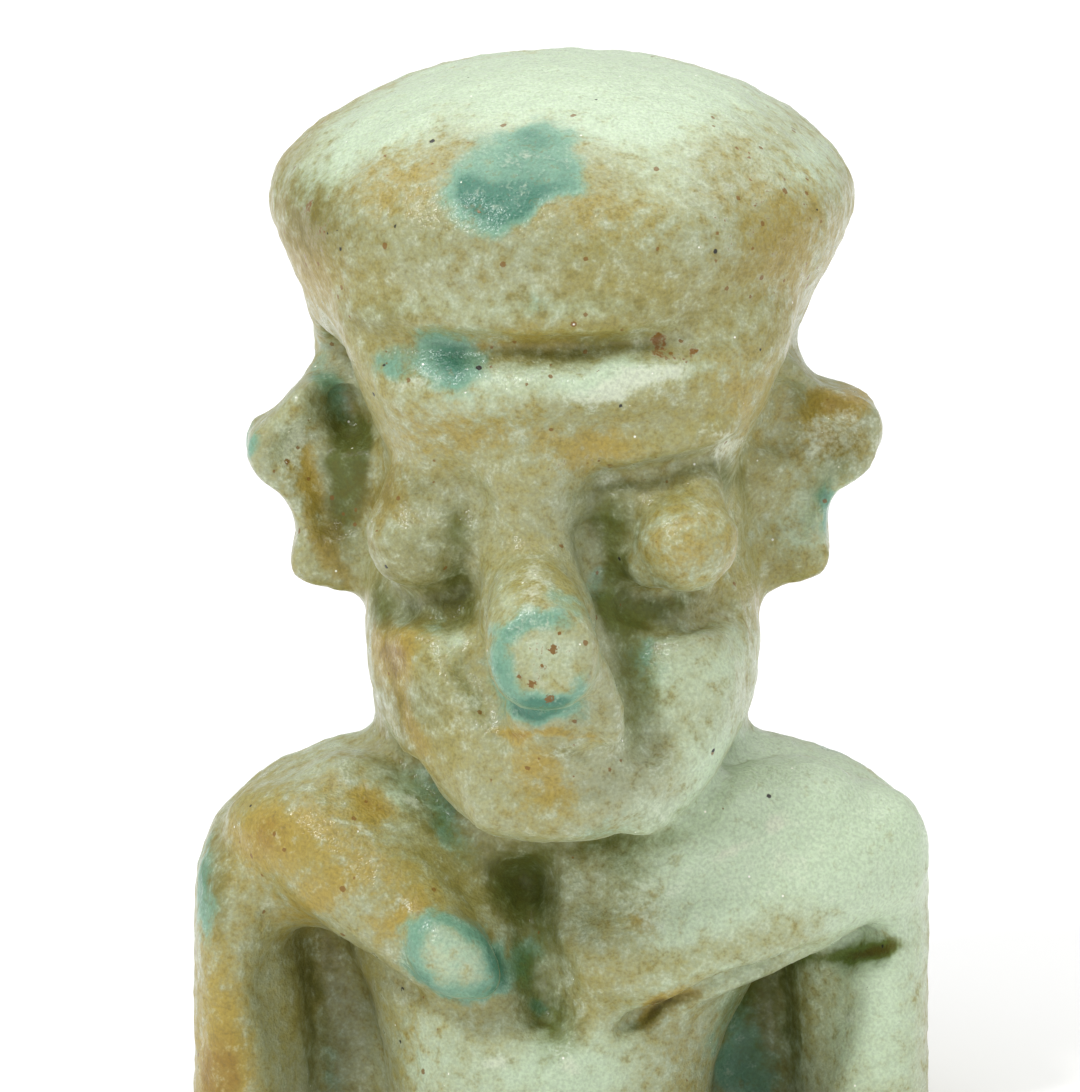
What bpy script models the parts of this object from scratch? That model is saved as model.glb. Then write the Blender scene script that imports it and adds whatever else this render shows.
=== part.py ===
"""Faience amulet of a squat, flat-capped dwarf god: the head and chest, cut flat below.

The figure is one fired piece. It is worked as a modeller would work it: rounded masses are
pressed together and softened, then the ears, eyes, nose and breasts are added and softened
less, and the folds and hollows are pressed in last. The bench works in millimetres, and the
finished mesh is scaled to metres. Front is -Y, the figure's own left is +X, and Z is up.
"""
import math

import bmesh
import bpy
import numpy as np
from mathutils import Euler, Matrix, Vector
from mathutils.bvhtree import BVHTree

MM = 0.001                      # one bench unit in metres
NAME = "amulet"

# Driving sizes, in millimetres
CAP_HALF_WIDTH = 3.68
CAP_TOP = 13.40
SHOULDER_HALF_WIDTH = 4.62
FACE_HALF_WIDTH = 2.46
LOOP_RADIUS = 0.98              # centre line of the hanging loop
LOOP_THICKNESS = 0.46           # radius of its cord-like section
LOOP_BORE = 0.50                # radius of the hole through it
LOOP_CENTRE = (0.0, 2.75, 4.9)
LEAN = math.radians(10)         # the front drawing is taken looking down by this much

# Working sizes
VOXEL = 0.12                    # grain of the worked clay
TRIANGLES = 8800                # facets left in the finished solid
BELOW = -1.2                    # how far the masses run past the flat cut
CLEAR = 20                      # more than any size of the figure

# Rows of (height, centre across, half width, front, back, squareness)
SKULL = [
    (8.40, -0.05, 2.90, -0.60, 3.10, 2.4), (9.60, -0.07, 3.05, -1.30, 3.65, 2.4),
    (10.0, -0.06, 3.08, -2.30, 3.80, 2.3), (10.3, -0.06, 3.14, -3.10, 3.90, 2.3),
    (10.7, -0.02, 3.30, -3.40, 4.00, 2.35), (11.2, 0.00, 3.54, -3.50, 4.10, 2.3),
    (11.68, 0.0, CAP_HALF_WIDTH, -3.42, 4.15, 2.25), (12.1, 0.00, 3.50, -3.15, 4.00, 2.2),
    (12.5, 0.00, 3.07, -2.75, 3.65, 2.2), (12.80, 0.04, 2.60, -2.30, 3.20, 2.15),
    (13.06, 0.08, 2.02, -1.75, 2.60, 2.1), (13.28, 0.10, 1.25, -1.00, 1.80, 2.0),
    (CAP_TOP, 0.06, 0.40, -0.20, 0.90, 2.0)]
FOREHEAD = [
    (7.90, 0.00, 2.00, -2.25, 0.80, 2.8), (8.30, 0.00, 2.08, -2.50, 0.80, 3.0),
    (8.60, 0.02, 2.16, -2.90, 0.80, 3.2), (8.96, 0.02, 2.30, -3.10, 0.80, 3.4),
    (9.47, 0.05, 2.52, -3.20, 0.80, 3.4), (10.25, 0.06, 2.84, -3.10, 0.80, 3.2),
    (10.7, 0.00, 2.95, -3.05, 0.80, 3.0)]
FACE = [
    (4.12, 0.14, 1.02, -3.42, -1.90, 2.8), (4.40, 0.12, 1.45, -3.60, -0.80, 2.8),
    (5.00, 0.06, 2.02, -3.60, 0.40, 2.8), (5.50, 0.04, 2.32, -3.48, 1.20, 2.8),
    (6.20, 0.02, 2.46, -3.26, 1.80, 2.7), (6.70, 0.00, FACE_HALF_WIDTH, -2.98, 2.30, 2.6),
    (7.20, 0.00, 2.44, -2.55, 2.70, 2.6), (7.80, 0.00, 2.40, -2.30, 3.00, 2.6),
    (8.60, 0.00, 2.30, -2.30, 3.10, 2.5)]
NECK = [
    (2.50, 0.00, 2.00, -1.40, 2.00, 2.0), (4.00, 0.00, 2.00, -1.60, 2.20, 2.0),
    (4.80, 0.00, 2.25, -1.75, 2.30, 2.0), (5.30, 0.00, 2.38, -1.80, 2.50, 2.0),
    (6.40, 0.00, 2.30, -1.80, 2.90, 2.0)]
TRUNK = [
    (BELOW, -0.14, 2.00, -2.20, 1.90, 2.2), (0.00, -0.14, 2.02, -2.25, 1.95, 2.2),
    (1.00, -0.12, 2.15, -2.20, 2.05, 2.2), (2.00, 0.00, 2.60, -2.00, 2.15, 2.2),
    (3.00, 0.00, 3.20, -1.85, 2.20, 2.2), (3.80, 0.00, 3.00, -1.65, 2.10, 2.2),
    (4.50, 0.00, 2.40, -1.30, 2.00, 2.2), (5.00, 0.00, 1.60, -0.90, 1.80, 2.2)]
SHOULDERS = [
    (2.46, 0.00, 4.45, -0.90, 1.50, 2.6), (2.74, 0.00, SHOULDER_HALF_WIDTH, -1.35, 1.75, 2.6),
    (3.07, 0.02, SHOULDER_HALF_WIDTH, -1.55, 1.90, 2.5), (3.58, 0.03, 4.50, -1.50, 1.95, 2.4),
    (4.05, 0.07, 4.17, -1.25, 1.90, 2.3), (4.38, 0.05, 3.75, -0.95, 1.75, 2.2),
    (4.60, 0.05, 3.20, -0.60, 1.50, 2.2), (4.80, 0.05, 2.50, -0.20, 1.20, 2.2)]
WEB = [                         # closes the gaps between arms and trunk at the back
    (BELOW, 0.00, 4.30, 0.35, 1.60, 4.0), (1.00, 0.00, 4.35, 0.35, 1.65, 4.0),
    (2.60, 0.00, 4.40, 0.30, 1.75, 4.0), (3.20, 0.00, 4.20, 0.30, 1.75, 4.0)]
HEAD_CORE = ((0, 0.9, 8.3), (2.6, 2.65, 3.0))   # place and half sizes; fills the head behind the face


def at(across, up, deep):
    """A point read off the front drawing, which is seen from LEAN above, and set at a depth."""
    return Vector((across, deep, (up - deep * math.sin(LEAN)) / math.cos(LEAN)))


SIGHT = Vector((0, math.cos(LEAN), -math.sin(LEAN)))

# Arms: (place, half sizes) of the balls they are rolled from
ARMS = [
    [((-4.00, 0.05, 2.9), (0.66, 1.20, 0.8)), ((-4.18, -0.12, 1.9), (0.48, 1.10, 0.6)),
     ((-4.12, -0.20, 1.2), (0.54, 1.05, 0.6)), ((-4.04, -0.20, 0.4), (0.63, 1.05, 0.6)),
     ((-4.02, -0.20, BELOW), (0.64, 1.05, 0.6))],
    [((3.85, 0.05, 2.6), (0.80, 1.20, 0.8)), ((4.02, -0.12, 1.9), (0.62, 1.10, 0.6)),
     ((4.03, -0.20, 1.2), (0.62, 1.05, 0.6)), ((3.96, -0.20, 0.4), (0.70, 1.05, 0.6)),
     ((3.96, -0.20, BELOW), (0.70, 1.05, 0.6))]]

# Rolls of clay laid on the masses, softened well in
SOFT_ROLLS = [
    # bridge and root of the nose
    [(at(-0.36, 8.15, -2.80), (0.70, 0.48, 0.40)), (at(-0.36, 7.60, -2.66), (0.60, 0.52, 0.40)),
     (at(-0.38, 7.00, -2.86), (0.66, 0.62, 0.45)), (at(-0.36, 6.20, -3.34), (0.88, 0.74, 0.60))],
    # cheeks
    [(at(1.42, 5.95, -2.38), (0.62, 0.48, 0.50)), (at(1.58, 5.35, -2.50), (0.62, 0.48, 0.50)),
     (at(1.42, 4.70, -2.72), (0.54, 0.42, 0.42))],
    [(at(-1.55, 6.00, -2.45), (0.55, 0.45, 0.45)), (at(-1.30, 5.45, -2.76), (0.55, 0.45, 0.50)),
     (at(-0.95, 4.95, -3.00), (0.50, 0.40, 0.40))],
    # chin
    [(at(-0.75, 3.98, -3.20), (0.50, 0.45, 0.40)), (at(0.00, 3.90, -3.30), (0.50, 0.45, 0.40)),
     (at(0.85, 4.02, -3.15), (0.50, 0.45, 0.40))],
    # breasts, one small and one like a flap
    [(at(-3.45, 3.60, -0.42), (0.80, 0.80, 0.62)), (at(-3.00, 3.45, -0.90), (0.90, 0.80, 0.80)),
     (at(-2.45, 3.00, -1.30), (0.84, 0.74, 0.76)), (at(-1.90, 2.55, -1.60), (0.74, 0.64, 0.66)),
     (at(-1.45, 2.12, -1.80), (0.62, 0.56, 0.54))],
    [(at(3.70, 3.30, -0.60), (0.95, 0.85, 0.95)), (at(2.90, 2.95, -1.15), (0.98, 0.85, 0.95)),
     (at(2.00, 2.55, -1.50), (0.98, 0.80, 0.92)), (at(1.20, 2.20, -1.65), (0.94, 0.72, 0.88)),
     (at(0.72, 1.98, -1.75), (0.74, 0.62, 0.70))],
    # upper chest, filling the hollows over the breasts
    [(at(0.75, 2.95, -1.05), (0.80, 0.70, 0.80)), (at(1.80, 3.35, -0.95), (1.00, 0.80, 0.90)),
     (at(3.00, 3.90, -0.45), (0.90, 0.80, 0.75))],
    [(at(-1.75, 3.45, -0.95), (0.60, 0.60, 0.60)), (at(-2.60, 4.00, -0.55), (0.80, 0.75, 0.60))]]
SOFT_BALLS = [
    (at(-0.10, 4.75, -3.12), (0.98, 0.72, 0.62), 0),         # muzzle
    (at(-1.84, 7.20, -2.20), (0.74, 0.66, 0.66), 0),         # swell round the flatter eye
    (at(-1.58, 7.85, -2.18), (0.66, 0.55, 0.50), 0),         # worn brow over it
    (at(0.50, 7.15, -2.12), (0.50, 0.45, 0.62), 0),          # floors of the hollows by the nose
    (at(-1.05, 7.05, -2.12), (0.36, 0.42, 0.55), 0)]

# Rolls and balls added last and hardly softened
CRISP_ROLLS = [
    # the knob eye
    [(at(1.22, 7.34, -2.35), (0.52, 0.50, 0.48)), (at(1.50, 7.18, -2.80), (0.67, 0.70, 0.63))],
    [(at(1.55, 7.35, -2.60), (0.46, 0.48, 0.42)), (at(1.66, 7.86, -2.50), (0.36, 0.38, 0.30))],
    # peg of the nose
    [(at(-0.38, 6.90, -3.10), (0.42, 0.45, 0.35)), (at(-0.32, 6.40, -3.66), (0.58, 0.60, 0.50)),
     (at(-0.22, 5.80, -4.22), (0.70, 0.72, 0.68))],
    # wedge of the upper lip
    [(at(-0.08, 5.35, -3.55), (0.62, 0.52, 0.35)), (at(-0.06, 4.98, -3.56), (0.66, 0.48, 0.20)),
     (at(-0.06, 4.80, -3.54), (0.66, 0.45, 0.12))],
    [(at(0.38, 5.60, -3.90), (0.20, 0.30, 0.25)), (at(0.55, 5.10, -3.82), (0.20, 0.30, 0.25)),
     (at(0.60, 4.84, -3.74), (0.18, 0.26, 0.14))]]
CRISP_BALLS = [
    (at(-1.83, 7.22, -2.38), (0.62, 0.56, 0.60), 0),         # the flatter eye
    (at(-1.36, 2.06, -2.22), (0.72, 0.40, 0.47), 38)]        # nipple

# Outlines of the two-lobed ears, (across, height)
EARS = [
    [(-2.0, 9.75), (-2.9, 9.70), (-3.20, 9.43), (-3.40, 9.18), (-3.62, 8.94), (-3.92, 8.70),
     (-3.97, 8.45), (-3.82, 8.17), (-3.50, 7.92), (-3.34, 7.65), (-3.31, 7.40), (-3.42, 6.98),
     (-3.20, 6.85), (-2.64, 6.74), (-2.0, 6.60)],
    [(2.0, 9.75), (2.96, 9.70), (3.10, 9.36), (3.70, 9.22), (3.98, 8.98), (4.02, 8.70),
     (3.96, 8.45), (3.82, 8.22), (3.43, 7.95), (3.34, 7.70), (3.33, 7.44), (3.39, 7.19),
     (3.27, 6.95), (2.80, 6.82), (2.0, 6.55)]]
EAR_THICKNESS = 1.15
EAR_DEPTH = 0.05

# Folds pressed in (+) or drawn up (-): (line on the front drawing, half width, depth)
FOLDS = [
    # edge of the cap
    ([(-2.6, 9.75), (-2.0, 9.60), (-1.0, 9.53), (0.2, 9.53), (1.0, 9.58), (1.7, 9.66)], 0.20, 0.18),
    ([(-2.3, 9.92), (-1.2, 9.86), (0.3, 9.85), (1.5, 9.92)], 0.24, -0.10),
    # ridge across the forehead
    ([(-2.2, 8.80), (-1.0, 8.90), (0.2, 9.05), (1.0, 9.18), (1.7, 9.28)], 0.40, -0.12),
    # brows, one overhanging and one worn
    ([(0.5, 8.22), (1.0, 8.34), (1.6, 8.48), (2.2, 8.68)], 0.22, -0.14),
    ([(0.2, 7.88), (0.8, 7.98), (1.3, 8.08), (1.7, 8.20)], 0.20, 0.20),
    ([(-1.9, 7.80), (-1.3, 7.74), (-0.85, 7.7)], 0.20, 0.05),
    # hollows beside the nose and under the eyes
    ([(0.38, 7.7), (0.42, 7.2), (0.54, 6.6)], 0.24, 0.12),
    ([(-1.06, 7.4), (-1.10, 7.0), (-1.15, 6.6)], 0.16, 0.12),
    ([(0.70, 6.44), (1.4, 6.30), (2.2, 6.42)], 0.22, 0.22),
    ([(-2.2, 6.42), (-1.7, 6.34), (-1.2, 6.38)], 0.20, 0.16),
    # furrows beside the mouth, and the mouth
    ([(0.90, 6.2), (1.00, 5.6), (1.12, 5.0), (1.20, 4.4)], 0.26, 0.28),
    ([(-1.05, 5.3), (-0.85, 5.0), (-0.72, 4.6)], 0.20, 0.06),
    ([(-0.70, 4.56), (-0.1, 4.48), (0.5, 4.58)], 0.16, 0.12),
    # temples and the dished ears
    ([(-2.80, 9.35), (-2.70, 8.8), (-2.52, 8.2)], 0.30, 0.60),
    ([(2.95, 9.2), (2.8, 8.7), (2.65, 8.2)], 0.30, 0.28),
    ([(-3.3, 8.7), (-3.0, 7.9), (-2.85, 7.2)], 0.32, 0.22),
    ([(3.4, 8.75), (3.1, 7.9), (2.9, 7.2)], 0.36, 0.24),
    # throat and the hollow between the breasts
    ([(-0.50, 3.3), (-0.42, 2.6), (-0.36, 2.0), (-0.2, 1.15)], 0.24, 0.48),
    ([(0.02, 3.2), (0.03, 2.6), (0.08, 2.0)], 0.14, -0.08),
    # valleys beside the neck
    ([(-1.9, 4.6), (-1.5, 3.9), (-1.05, 3.2), (-0.8, 2.8)], 0.30, 0.16),
    ([(1.7, 4.2), (1.2, 3.6), (0.5, 3.2)], 0.30, 0.10),
    # lower edges of the breasts, and the slit beside one arm
    ([(0.60, 1.10), (1.5, 1.46), (2.4, 1.80), (3.4, 2.15)], 0.17, 0.26),
    ([(-3.0, 2.35), (-2.3, 1.88), (-1.6, 1.42)], 0.16, 0.08),
    ([(2.95, 1.90), (3.6, 2.08), (4.3, 2.20)], 0.20, 0.55)]
# Pits: (centre on the front drawing, radius, depth)
PITS = [
    ((-0.53, 3.04), 0.42, 0.85),    # throat
    ((-0.20, 1.22), 0.32, 0.30)]    # foot of the hollow between the breasts
NOSE_END = at(-0.22, 5.80, -4.56)   # centre of the flat, worn end of the nose
NOSE_END_RADIUS = 0.80

# How far each stage is softened
REACH_MASSES = 0.38
REACH_SOFT = 0.34
REACH_CRISP = 0.20
REACH_FOLDS = 0.13


def through(rows, per):
    """Points on a smooth curve through the rows, PER of them to each span."""
    rows = [np.array(row, float) for row in rows]
    last = len(rows) - 1
    points = []
    for i in range(last):
        before, here, there, after = rows[max(i - 1, 0)], rows[i], rows[i + 1], rows[min(i + 2, last)]
        for k in range(per):
            t = k / per
            points.append(0.5 * (2 * here + (there - before) * t
                                 + (2 * before - 5 * here + 4 * there - after) * t ** 2
                                 + (3 * here - before - 3 * there + after) * t ** 3))
    points.append(rows[last])
    return points


class Clay:
    """Gathers closed bodies, which may overlap, until they are made one skin."""

    def __init__(self):
        self.verts = []
        self.faces = []

    def add(self, verts, faces):
        first = len(self.verts)
        self.verts.extend(tuple(v) for v in verts)
        self.faces.extend([first + i for i in face] for face in faces)


def unit_ball():
    """Vertices and faces of a ball of radius 1."""
    bm = bmesh.new()
    bmesh.ops.create_uvsphere(bm, u_segments=24, v_segments=14, radius=1)
    verts = np.array([v.co for v in bm.verts])
    faces = [[v.index for v in face.verts] for face in bm.faces]
    bm.free()
    return verts, faces


BALL = unit_ball()


def tube_faces(rings, sides, closed):
    """Quads between neighbouring rings of vertices; a closed run joins its last ring to its first."""
    faces = []
    for i in range(rings if closed else rings - 1):
        low, high = i * sides, (i + 1) % rings * sides
        for k in range(sides):
            j = (k + 1) % sides
            faces.append((low + k, low + j, high + j, high + k))
    return faces


def add_loft(clay, rows, sides=64, per=3):
    """A closed body through rounded-square sections."""
    sections = through(rows, per)
    verts = []
    for height, centre, half, front, back, squareness in sections:
        for k in range(sides):
            angle = 2 * math.pi * k / sides
            c, s = math.cos(angle), math.sin(angle)
            x = centre + half * math.copysign(abs(c) ** (2 / squareness), c)
            y = (front + back) / 2 + (back - front) / 2 * math.copysign(abs(s) ** (2 / squareness), s)
            verts.append((x, y, height))
    faces = tube_faces(len(sections), sides, closed=False)
    faces.append(tuple(reversed(range(sides))))
    faces.append(tuple(range(len(verts) - sides, len(verts))))
    clay.add(verts, faces)


def add_ball(clay, centre, half_sizes, turn=0):
    """An egg-shaped ball, turned about the front-to-back axis by TURN degrees."""
    verts, faces = BALL
    turned = (verts * np.array(half_sizes)) @ np.array(Matrix.Rotation(math.radians(turn), 3, "Y")).T
    clay.add(turned + np.array(centre), faces)


def add_roll(clay, stops, per=8):
    """Overlapping balls along a smooth line through the stops."""
    for row in through([(*place, *size) for place, size in stops], per):
        add_ball(clay, row[:3], row[3:])


def add_plate(clay, outline, thickness, depth):
    """An outline seen from the front, given a thickness."""
    count = len(outline)
    verts = [(x, depth + side * thickness / 2, z) for side in (-1, 1) for x, z in outline]
    faces = tube_faces(2, count, closed=False)
    faces += [tuple(reversed(range(count))), tuple(range(count, 2 * count))]
    clay.add(verts, faces)


def add_loop(clay, sides=32, section=14):
    """The hanging ring, standing on edge so that its hole runs from side to side."""
    verts = []
    for k in range(sides):
        turn = 2 * math.pi * k / sides
        for j in range(section):
            angle = 2 * math.pi * j / section
            out = LOOP_RADIUS + LOOP_THICKNESS * math.cos(angle)
            verts.append((LOOP_THICKNESS * math.sin(angle), out * math.cos(turn), out * math.sin(turn)))
    clay.add(np.array(verts) + np.array(LOOP_CENTRE), tube_faces(sides, section, closed=True))


def add_masses(clay):
    for rows in (SKULL, FOREHEAD, FACE, NECK, TRUNK, SHOULDERS, WEB):
        add_loft(clay, rows)
    add_ball(clay, *HEAD_CORE)
    for arm in ARMS:
        add_roll(clay, arm, per=6)


def add_soft(clay):
    for stops in SOFT_ROLLS:
        add_roll(clay, stops)
    for centre, size, turn in SOFT_BALLS:
        add_ball(clay, centre, size, turn)
    for outline in EARS:
        add_plate(clay, outline, EAR_THICKNESS, EAR_DEPTH)


def add_crisp(clay):
    for stops in CRISP_ROLLS:
        add_roll(clay, stops)
    for centre, size, turn in CRISP_BALLS:
        add_ball(clay, centre, size, turn)
    add_loop(clay)


def apply_modifiers(obj):
    """Keep the evaluated shape as the object's own mesh."""
    graph = bpy.context.evaluated_depsgraph_get()
    mesh = bpy.data.meshes.new_from_object(obj.evaluated_get(graph))
    obj.modifiers.clear()
    old, obj.data = obj.data, mesh
    bpy.data.meshes.remove(old)


def press(obj, add, reach):
    """Add shapes to the clay, make one skin of it, and soften it over REACH."""
    clay = Clay()
    add(clay)
    pieces = bpy.data.meshes.new("pieces")
    pieces.from_pydata(clay.verts, [], clay.faces)
    bm = bmesh.new()
    bm.from_mesh(obj.data)
    bm.from_mesh(pieces)
    bmesh.ops.recalc_face_normals(bm, faces=bm.faces)
    bm.to_mesh(obj.data)
    bm.free()
    bpy.data.meshes.remove(pieces)
    skin = obj.modifiers.new("one skin", "REMESH")
    skin.mode = "VOXEL"
    skin.voxel_size = VOXEL
    soften = obj.modifiers.new("soften", "SMOOTH")
    soften.iterations = round((reach / VOXEL) ** 2)
    apply_modifiers(obj)


def vertices(obj):
    """Places and normals of the vertices as arrays."""
    count = len(obj.data.vertices)
    places, normals = np.empty(count * 3, np.float32), np.empty(count * 3, np.float32)
    obj.data.vertices.foreach_get("co", places)
    obj.data.vertices.foreach_get("normal", normals)
    return places.reshape(-1, 3).astype(float), normals.reshape(-1, 3).astype(float)


def place_vertices(obj, places):
    obj.data.vertices.foreach_set("co", places.astype(np.float32).ravel())
    obj.data.update()


def distance_to(places, line):
    """Distance of each place to a line of points, and its share of the way along."""
    nearest, share = np.full(len(places), np.inf), np.zeros(len(places))
    for i, (start, end) in enumerate(zip(line, line[1:])):
        span = end - start
        t = np.clip((places - start) @ span / (span @ span), 0, 1)
        gap = np.linalg.norm(places - start - t[:, None] * span, axis=1)
        closer = gap < nearest
        nearest[closer] = gap[closer]
        share[closer] = (i + t[closer]) / (len(line) - 1)
    return nearest, share


def press_folds(obj):
    """Press each fold into the surface where its line falls on the front."""
    tree = BVHTree.FromObject(obj, bpy.context.evaluated_depsgraph_get())
    places, normals = vertices(obj)
    move = np.zeros(len(places))
    for points, half_width, depth in FOLDS:
        line = []
        for across, up in through(points, per=6):
            hit = tree.ray_cast(at(across, up, 0) - CLEAR * SIGHT, SIGHT)[0]
            if hit is not None:
                line.append(np.array(hit))
        gap, share = distance_to(places, line)
        ends = np.clip(np.minimum(share, 1 - share) / 0.2, 0, 1) ** 0.7
        move += depth * np.exp(-(gap / half_width) ** 2) * ends
    for (across, up), radius, depth in PITS:
        centre = np.array(tree.ray_cast(at(across, up, 0) - CLEAR * SIGHT, SIGHT)[0])
        gap = np.linalg.norm(places - centre, axis=1)
        move += depth * np.exp(-(gap / radius) ** 2)
    places -= normals * move[:, None]
    place_vertices(obj, places)


def flatten_nose(obj):
    """Wear the end of the nose to a flat disc that faces along the sight line."""
    places, _ = vertices(obj)
    sight = np.array(SIGHT)
    ahead = (places - np.array(NOSE_END)) @ sight
    radius = np.linalg.norm(places - np.array(NOSE_END) - ahead[:, None] * sight, axis=1)
    proud = (radius < NOSE_END_RADIUS) & (ahead < 0)
    places[proud] -= 0.92 * ahead[proud, None] * sight
    place_vertices(obj, places)


def cutter(name, kind, place, size, turn=(0, 0, 0)):
    """A hidden body for a Boolean cut: a unit cube or cylinder, placed and sized."""
    bm = bmesh.new()
    if kind == "box":
        bmesh.ops.create_cube(bm, size=1)
    else:
        bmesh.ops.create_cone(bm, cap_ends=True, segments=24, radius1=1, radius2=1, depth=1)
    bm.transform(Matrix.Translation(place) @ Euler(turn).to_matrix().to_4x4()
                 @ Matrix.Diagonal((*size, 1)))
    mesh = bpy.data.meshes.new(name)
    bm.to_mesh(mesh)
    bm.free()
    obj = bpy.data.objects.new(name, mesh)
    obj.hide_render = True
    obj.display_type = "WIRE"
    bpy.context.scene.collection.objects.link(obj)
    return obj


def cut(obj, tool):
    """Take the tool's body out of the object."""
    boolean = obj.modifiers.new(tool.name, "BOOLEAN")
    boolean.operation = "DIFFERENCE"
    boolean.object = tool
    apply_modifiers(obj)
    bpy.data.objects.remove(tool)


def facet(obj):
    """Bring the worked surface down to the facets that the solid keeps."""
    thin = obj.modifiers.new("facets", "DECIMATE")
    thin.ratio = TRIANGLES / (2 * len(obj.data.polygons))
    thin.use_collapse_triangulate = True
    apply_modifiers(obj)


def glaze_material():
    material = bpy.data.materials.new("glazed faience")
    material.use_nodes = True
    shader = material.node_tree.nodes["Principled BSDF"]
    shader.inputs["Base Color"].default_value = (0.47, 0.53, 0.38, 1)
    shader.inputs["Roughness"].default_value = 0.4
    shader.inputs["Metallic"].default_value = 0.0
    return material


def stand_on_origin(obj):
    """Scale to metres, with the middle of the foot at the origin."""
    places, _ = vertices(obj)
    middle = (places.min(axis=0) + places.max(axis=0)) / 2
    places -= (middle[0], middle[1], places[:, 2].min())
    place_vertices(obj, places * MM)


def make_amulet():
    obj = bpy.data.objects.new(NAME, bpy.data.meshes.new(NAME))
    bpy.context.scene.collection.objects.link(obj)
    press(obj, add_masses, REACH_MASSES)
    press(obj, add_soft, REACH_SOFT)
    press(obj, add_crisp, REACH_CRISP)
    press_folds(obj)
    flatten_nose(obj)
    press(obj, lambda clay: None, REACH_FOLDS)
    facet(obj)
    cut(obj, cutter("bore", "cylinder", LOOP_CENTRE, (LOOP_BORE, LOOP_BORE, 4 * LOOP_THICKNESS),
                    (0, math.radians(90), 0)))
    cut(obj, cutter("flat cut", "box", (0, 0, -CLEAR / 2), (CLEAR, CLEAR, CLEAR)))
    stand_on_origin(obj)
    obj.data.name = NAME
    obj.data.materials.clear()
    obj.data.materials.append(glaze_material())
    obj.data.shade_smooth()
    obj.data.set_sharp_from_angle(angle=math.radians(50))
    return obj


for old in list(bpy.data.objects):
    bpy.data.objects.remove(old)
make_amulet()
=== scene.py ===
"""Faience amulet: the head and chest of a squat god in a flat cap, in worn pale green glaze.

The figure is modelled on a bench where one unit is a millimetre. Rounded masses are joined and
softened, then ears, eyes, nose and breasts are added and softened less, and folds and hollows are
pressed in. The skin is weathered, cut flat below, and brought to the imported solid's size and place.
Front is -Y, the figure's own left is +X, and Z is up.
"""
import math

import bpy
import numpy as np
from bpy.props import FloatProperty, FloatVectorProperty, PointerProperty
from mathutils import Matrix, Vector, noise
from mathutils.bvhtree import BVHTree


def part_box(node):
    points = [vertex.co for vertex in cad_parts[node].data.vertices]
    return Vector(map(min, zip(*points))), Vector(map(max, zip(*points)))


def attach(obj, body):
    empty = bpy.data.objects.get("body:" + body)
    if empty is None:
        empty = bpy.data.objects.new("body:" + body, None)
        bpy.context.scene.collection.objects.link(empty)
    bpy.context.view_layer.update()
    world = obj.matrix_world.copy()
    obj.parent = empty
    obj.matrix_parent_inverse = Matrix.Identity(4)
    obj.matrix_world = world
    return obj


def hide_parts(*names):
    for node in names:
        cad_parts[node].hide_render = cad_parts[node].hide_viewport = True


bl_info = {
    "name": "Faience amulet",
    "version": (1, 0, 0),
    "blender": (4, 5, 0),
    "location": "3D View > Sidebar > Amulet",
    "description": "Models a small glazed amulet of a god and the stage it stands on",
    "category": "Add Mesh",
}

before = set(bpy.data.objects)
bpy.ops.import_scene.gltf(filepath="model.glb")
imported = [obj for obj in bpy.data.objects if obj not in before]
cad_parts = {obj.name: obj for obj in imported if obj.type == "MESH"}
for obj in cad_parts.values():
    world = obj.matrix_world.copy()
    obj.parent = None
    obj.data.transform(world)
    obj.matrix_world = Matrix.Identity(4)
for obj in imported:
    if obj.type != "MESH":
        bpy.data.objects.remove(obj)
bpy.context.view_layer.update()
LOW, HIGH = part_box("amulet")

MM = 0.001  # one bench unit in metres
WIDTH, _, HEIGHT = (HIGH - LOW) / MM

# Driving sizes on the bench, in millimetres
CAP_HALF_WIDTH = 3.68
CAP_TOP = HEIGHT
SHOULDER_HALF_WIDTH = WIDTH / 2
FACE_HALF_WIDTH = 2.46
LOOP_RADIUS = 0.98  # centre line of the hanging loop
LOOP_THICKNESS = 0.46  # radius of its cord-like section
LOOP_CENTRE = (0.0, 2.75, 4.9)
LEAN = math.radians(10)  # the front drawing is taken looking down by this much
BELOW = -1.2  # how far the masses run past the flat cut
CLEAR = 20  # more than any size of the figure

# How far each stage is softened, in millimetres
REACH_MASSES = 0.38
REACH_SOFT = 0.34
REACH_CRISP = 0.2
REACH_FOLDS = 0.13
REACH_SHARP = 0.36

# Rows of (height, centre across, half width, front, back)
SKULL = [
    (8.4, -0.05, 2.9, -0.6, 3.1), (9.6, -0.07, 3.05, -1.3, 3.65),
    (10.0, -0.06, 3.08, -2.3, 3.8), (10.3, -0.06, 3.14, -3.1, 3.9),
    (10.7, -0.02, 3.3, -3.4, 4.0), (11.2, 0.0, 3.54, -3.5, 4.1),
    (11.68, 0.0, CAP_HALF_WIDTH, -3.42, 4.15), (12.1, 0.0, 3.5, -3.15, 4.0),
    (12.5, 0.0, 3.07, -2.75, 3.65), (12.8, 0.04, 2.6, -2.3, 3.2),
    (13.06, 0.08, 2.02, -1.75, 2.6), (13.28, 0.1, 1.25, -1.0, 1.8),
    (CAP_TOP, 0.06, 0.4, -0.2, 0.9)]
FOREHEAD = [
    (7.9, 0.0, 2.0, -2.25, 0.8), (8.3, 0.0, 2.08, -2.5, 0.8), (8.6, 0.02, 2.16, -2.88, 0.8),
    (8.96, 0.02, 2.3, -3.06, 0.8), (9.4, 0.05, 2.5, -3.2, 0.8), (9.72, 0.05, 2.62, -3.26, 0.8),
    (10.0, 0.06, 2.74, -3.18, 0.8), (10.28, 0.06, 2.84, -3.08, 0.8), (10.7, 0.0, 2.95, -3.05, 0.8)]
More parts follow.
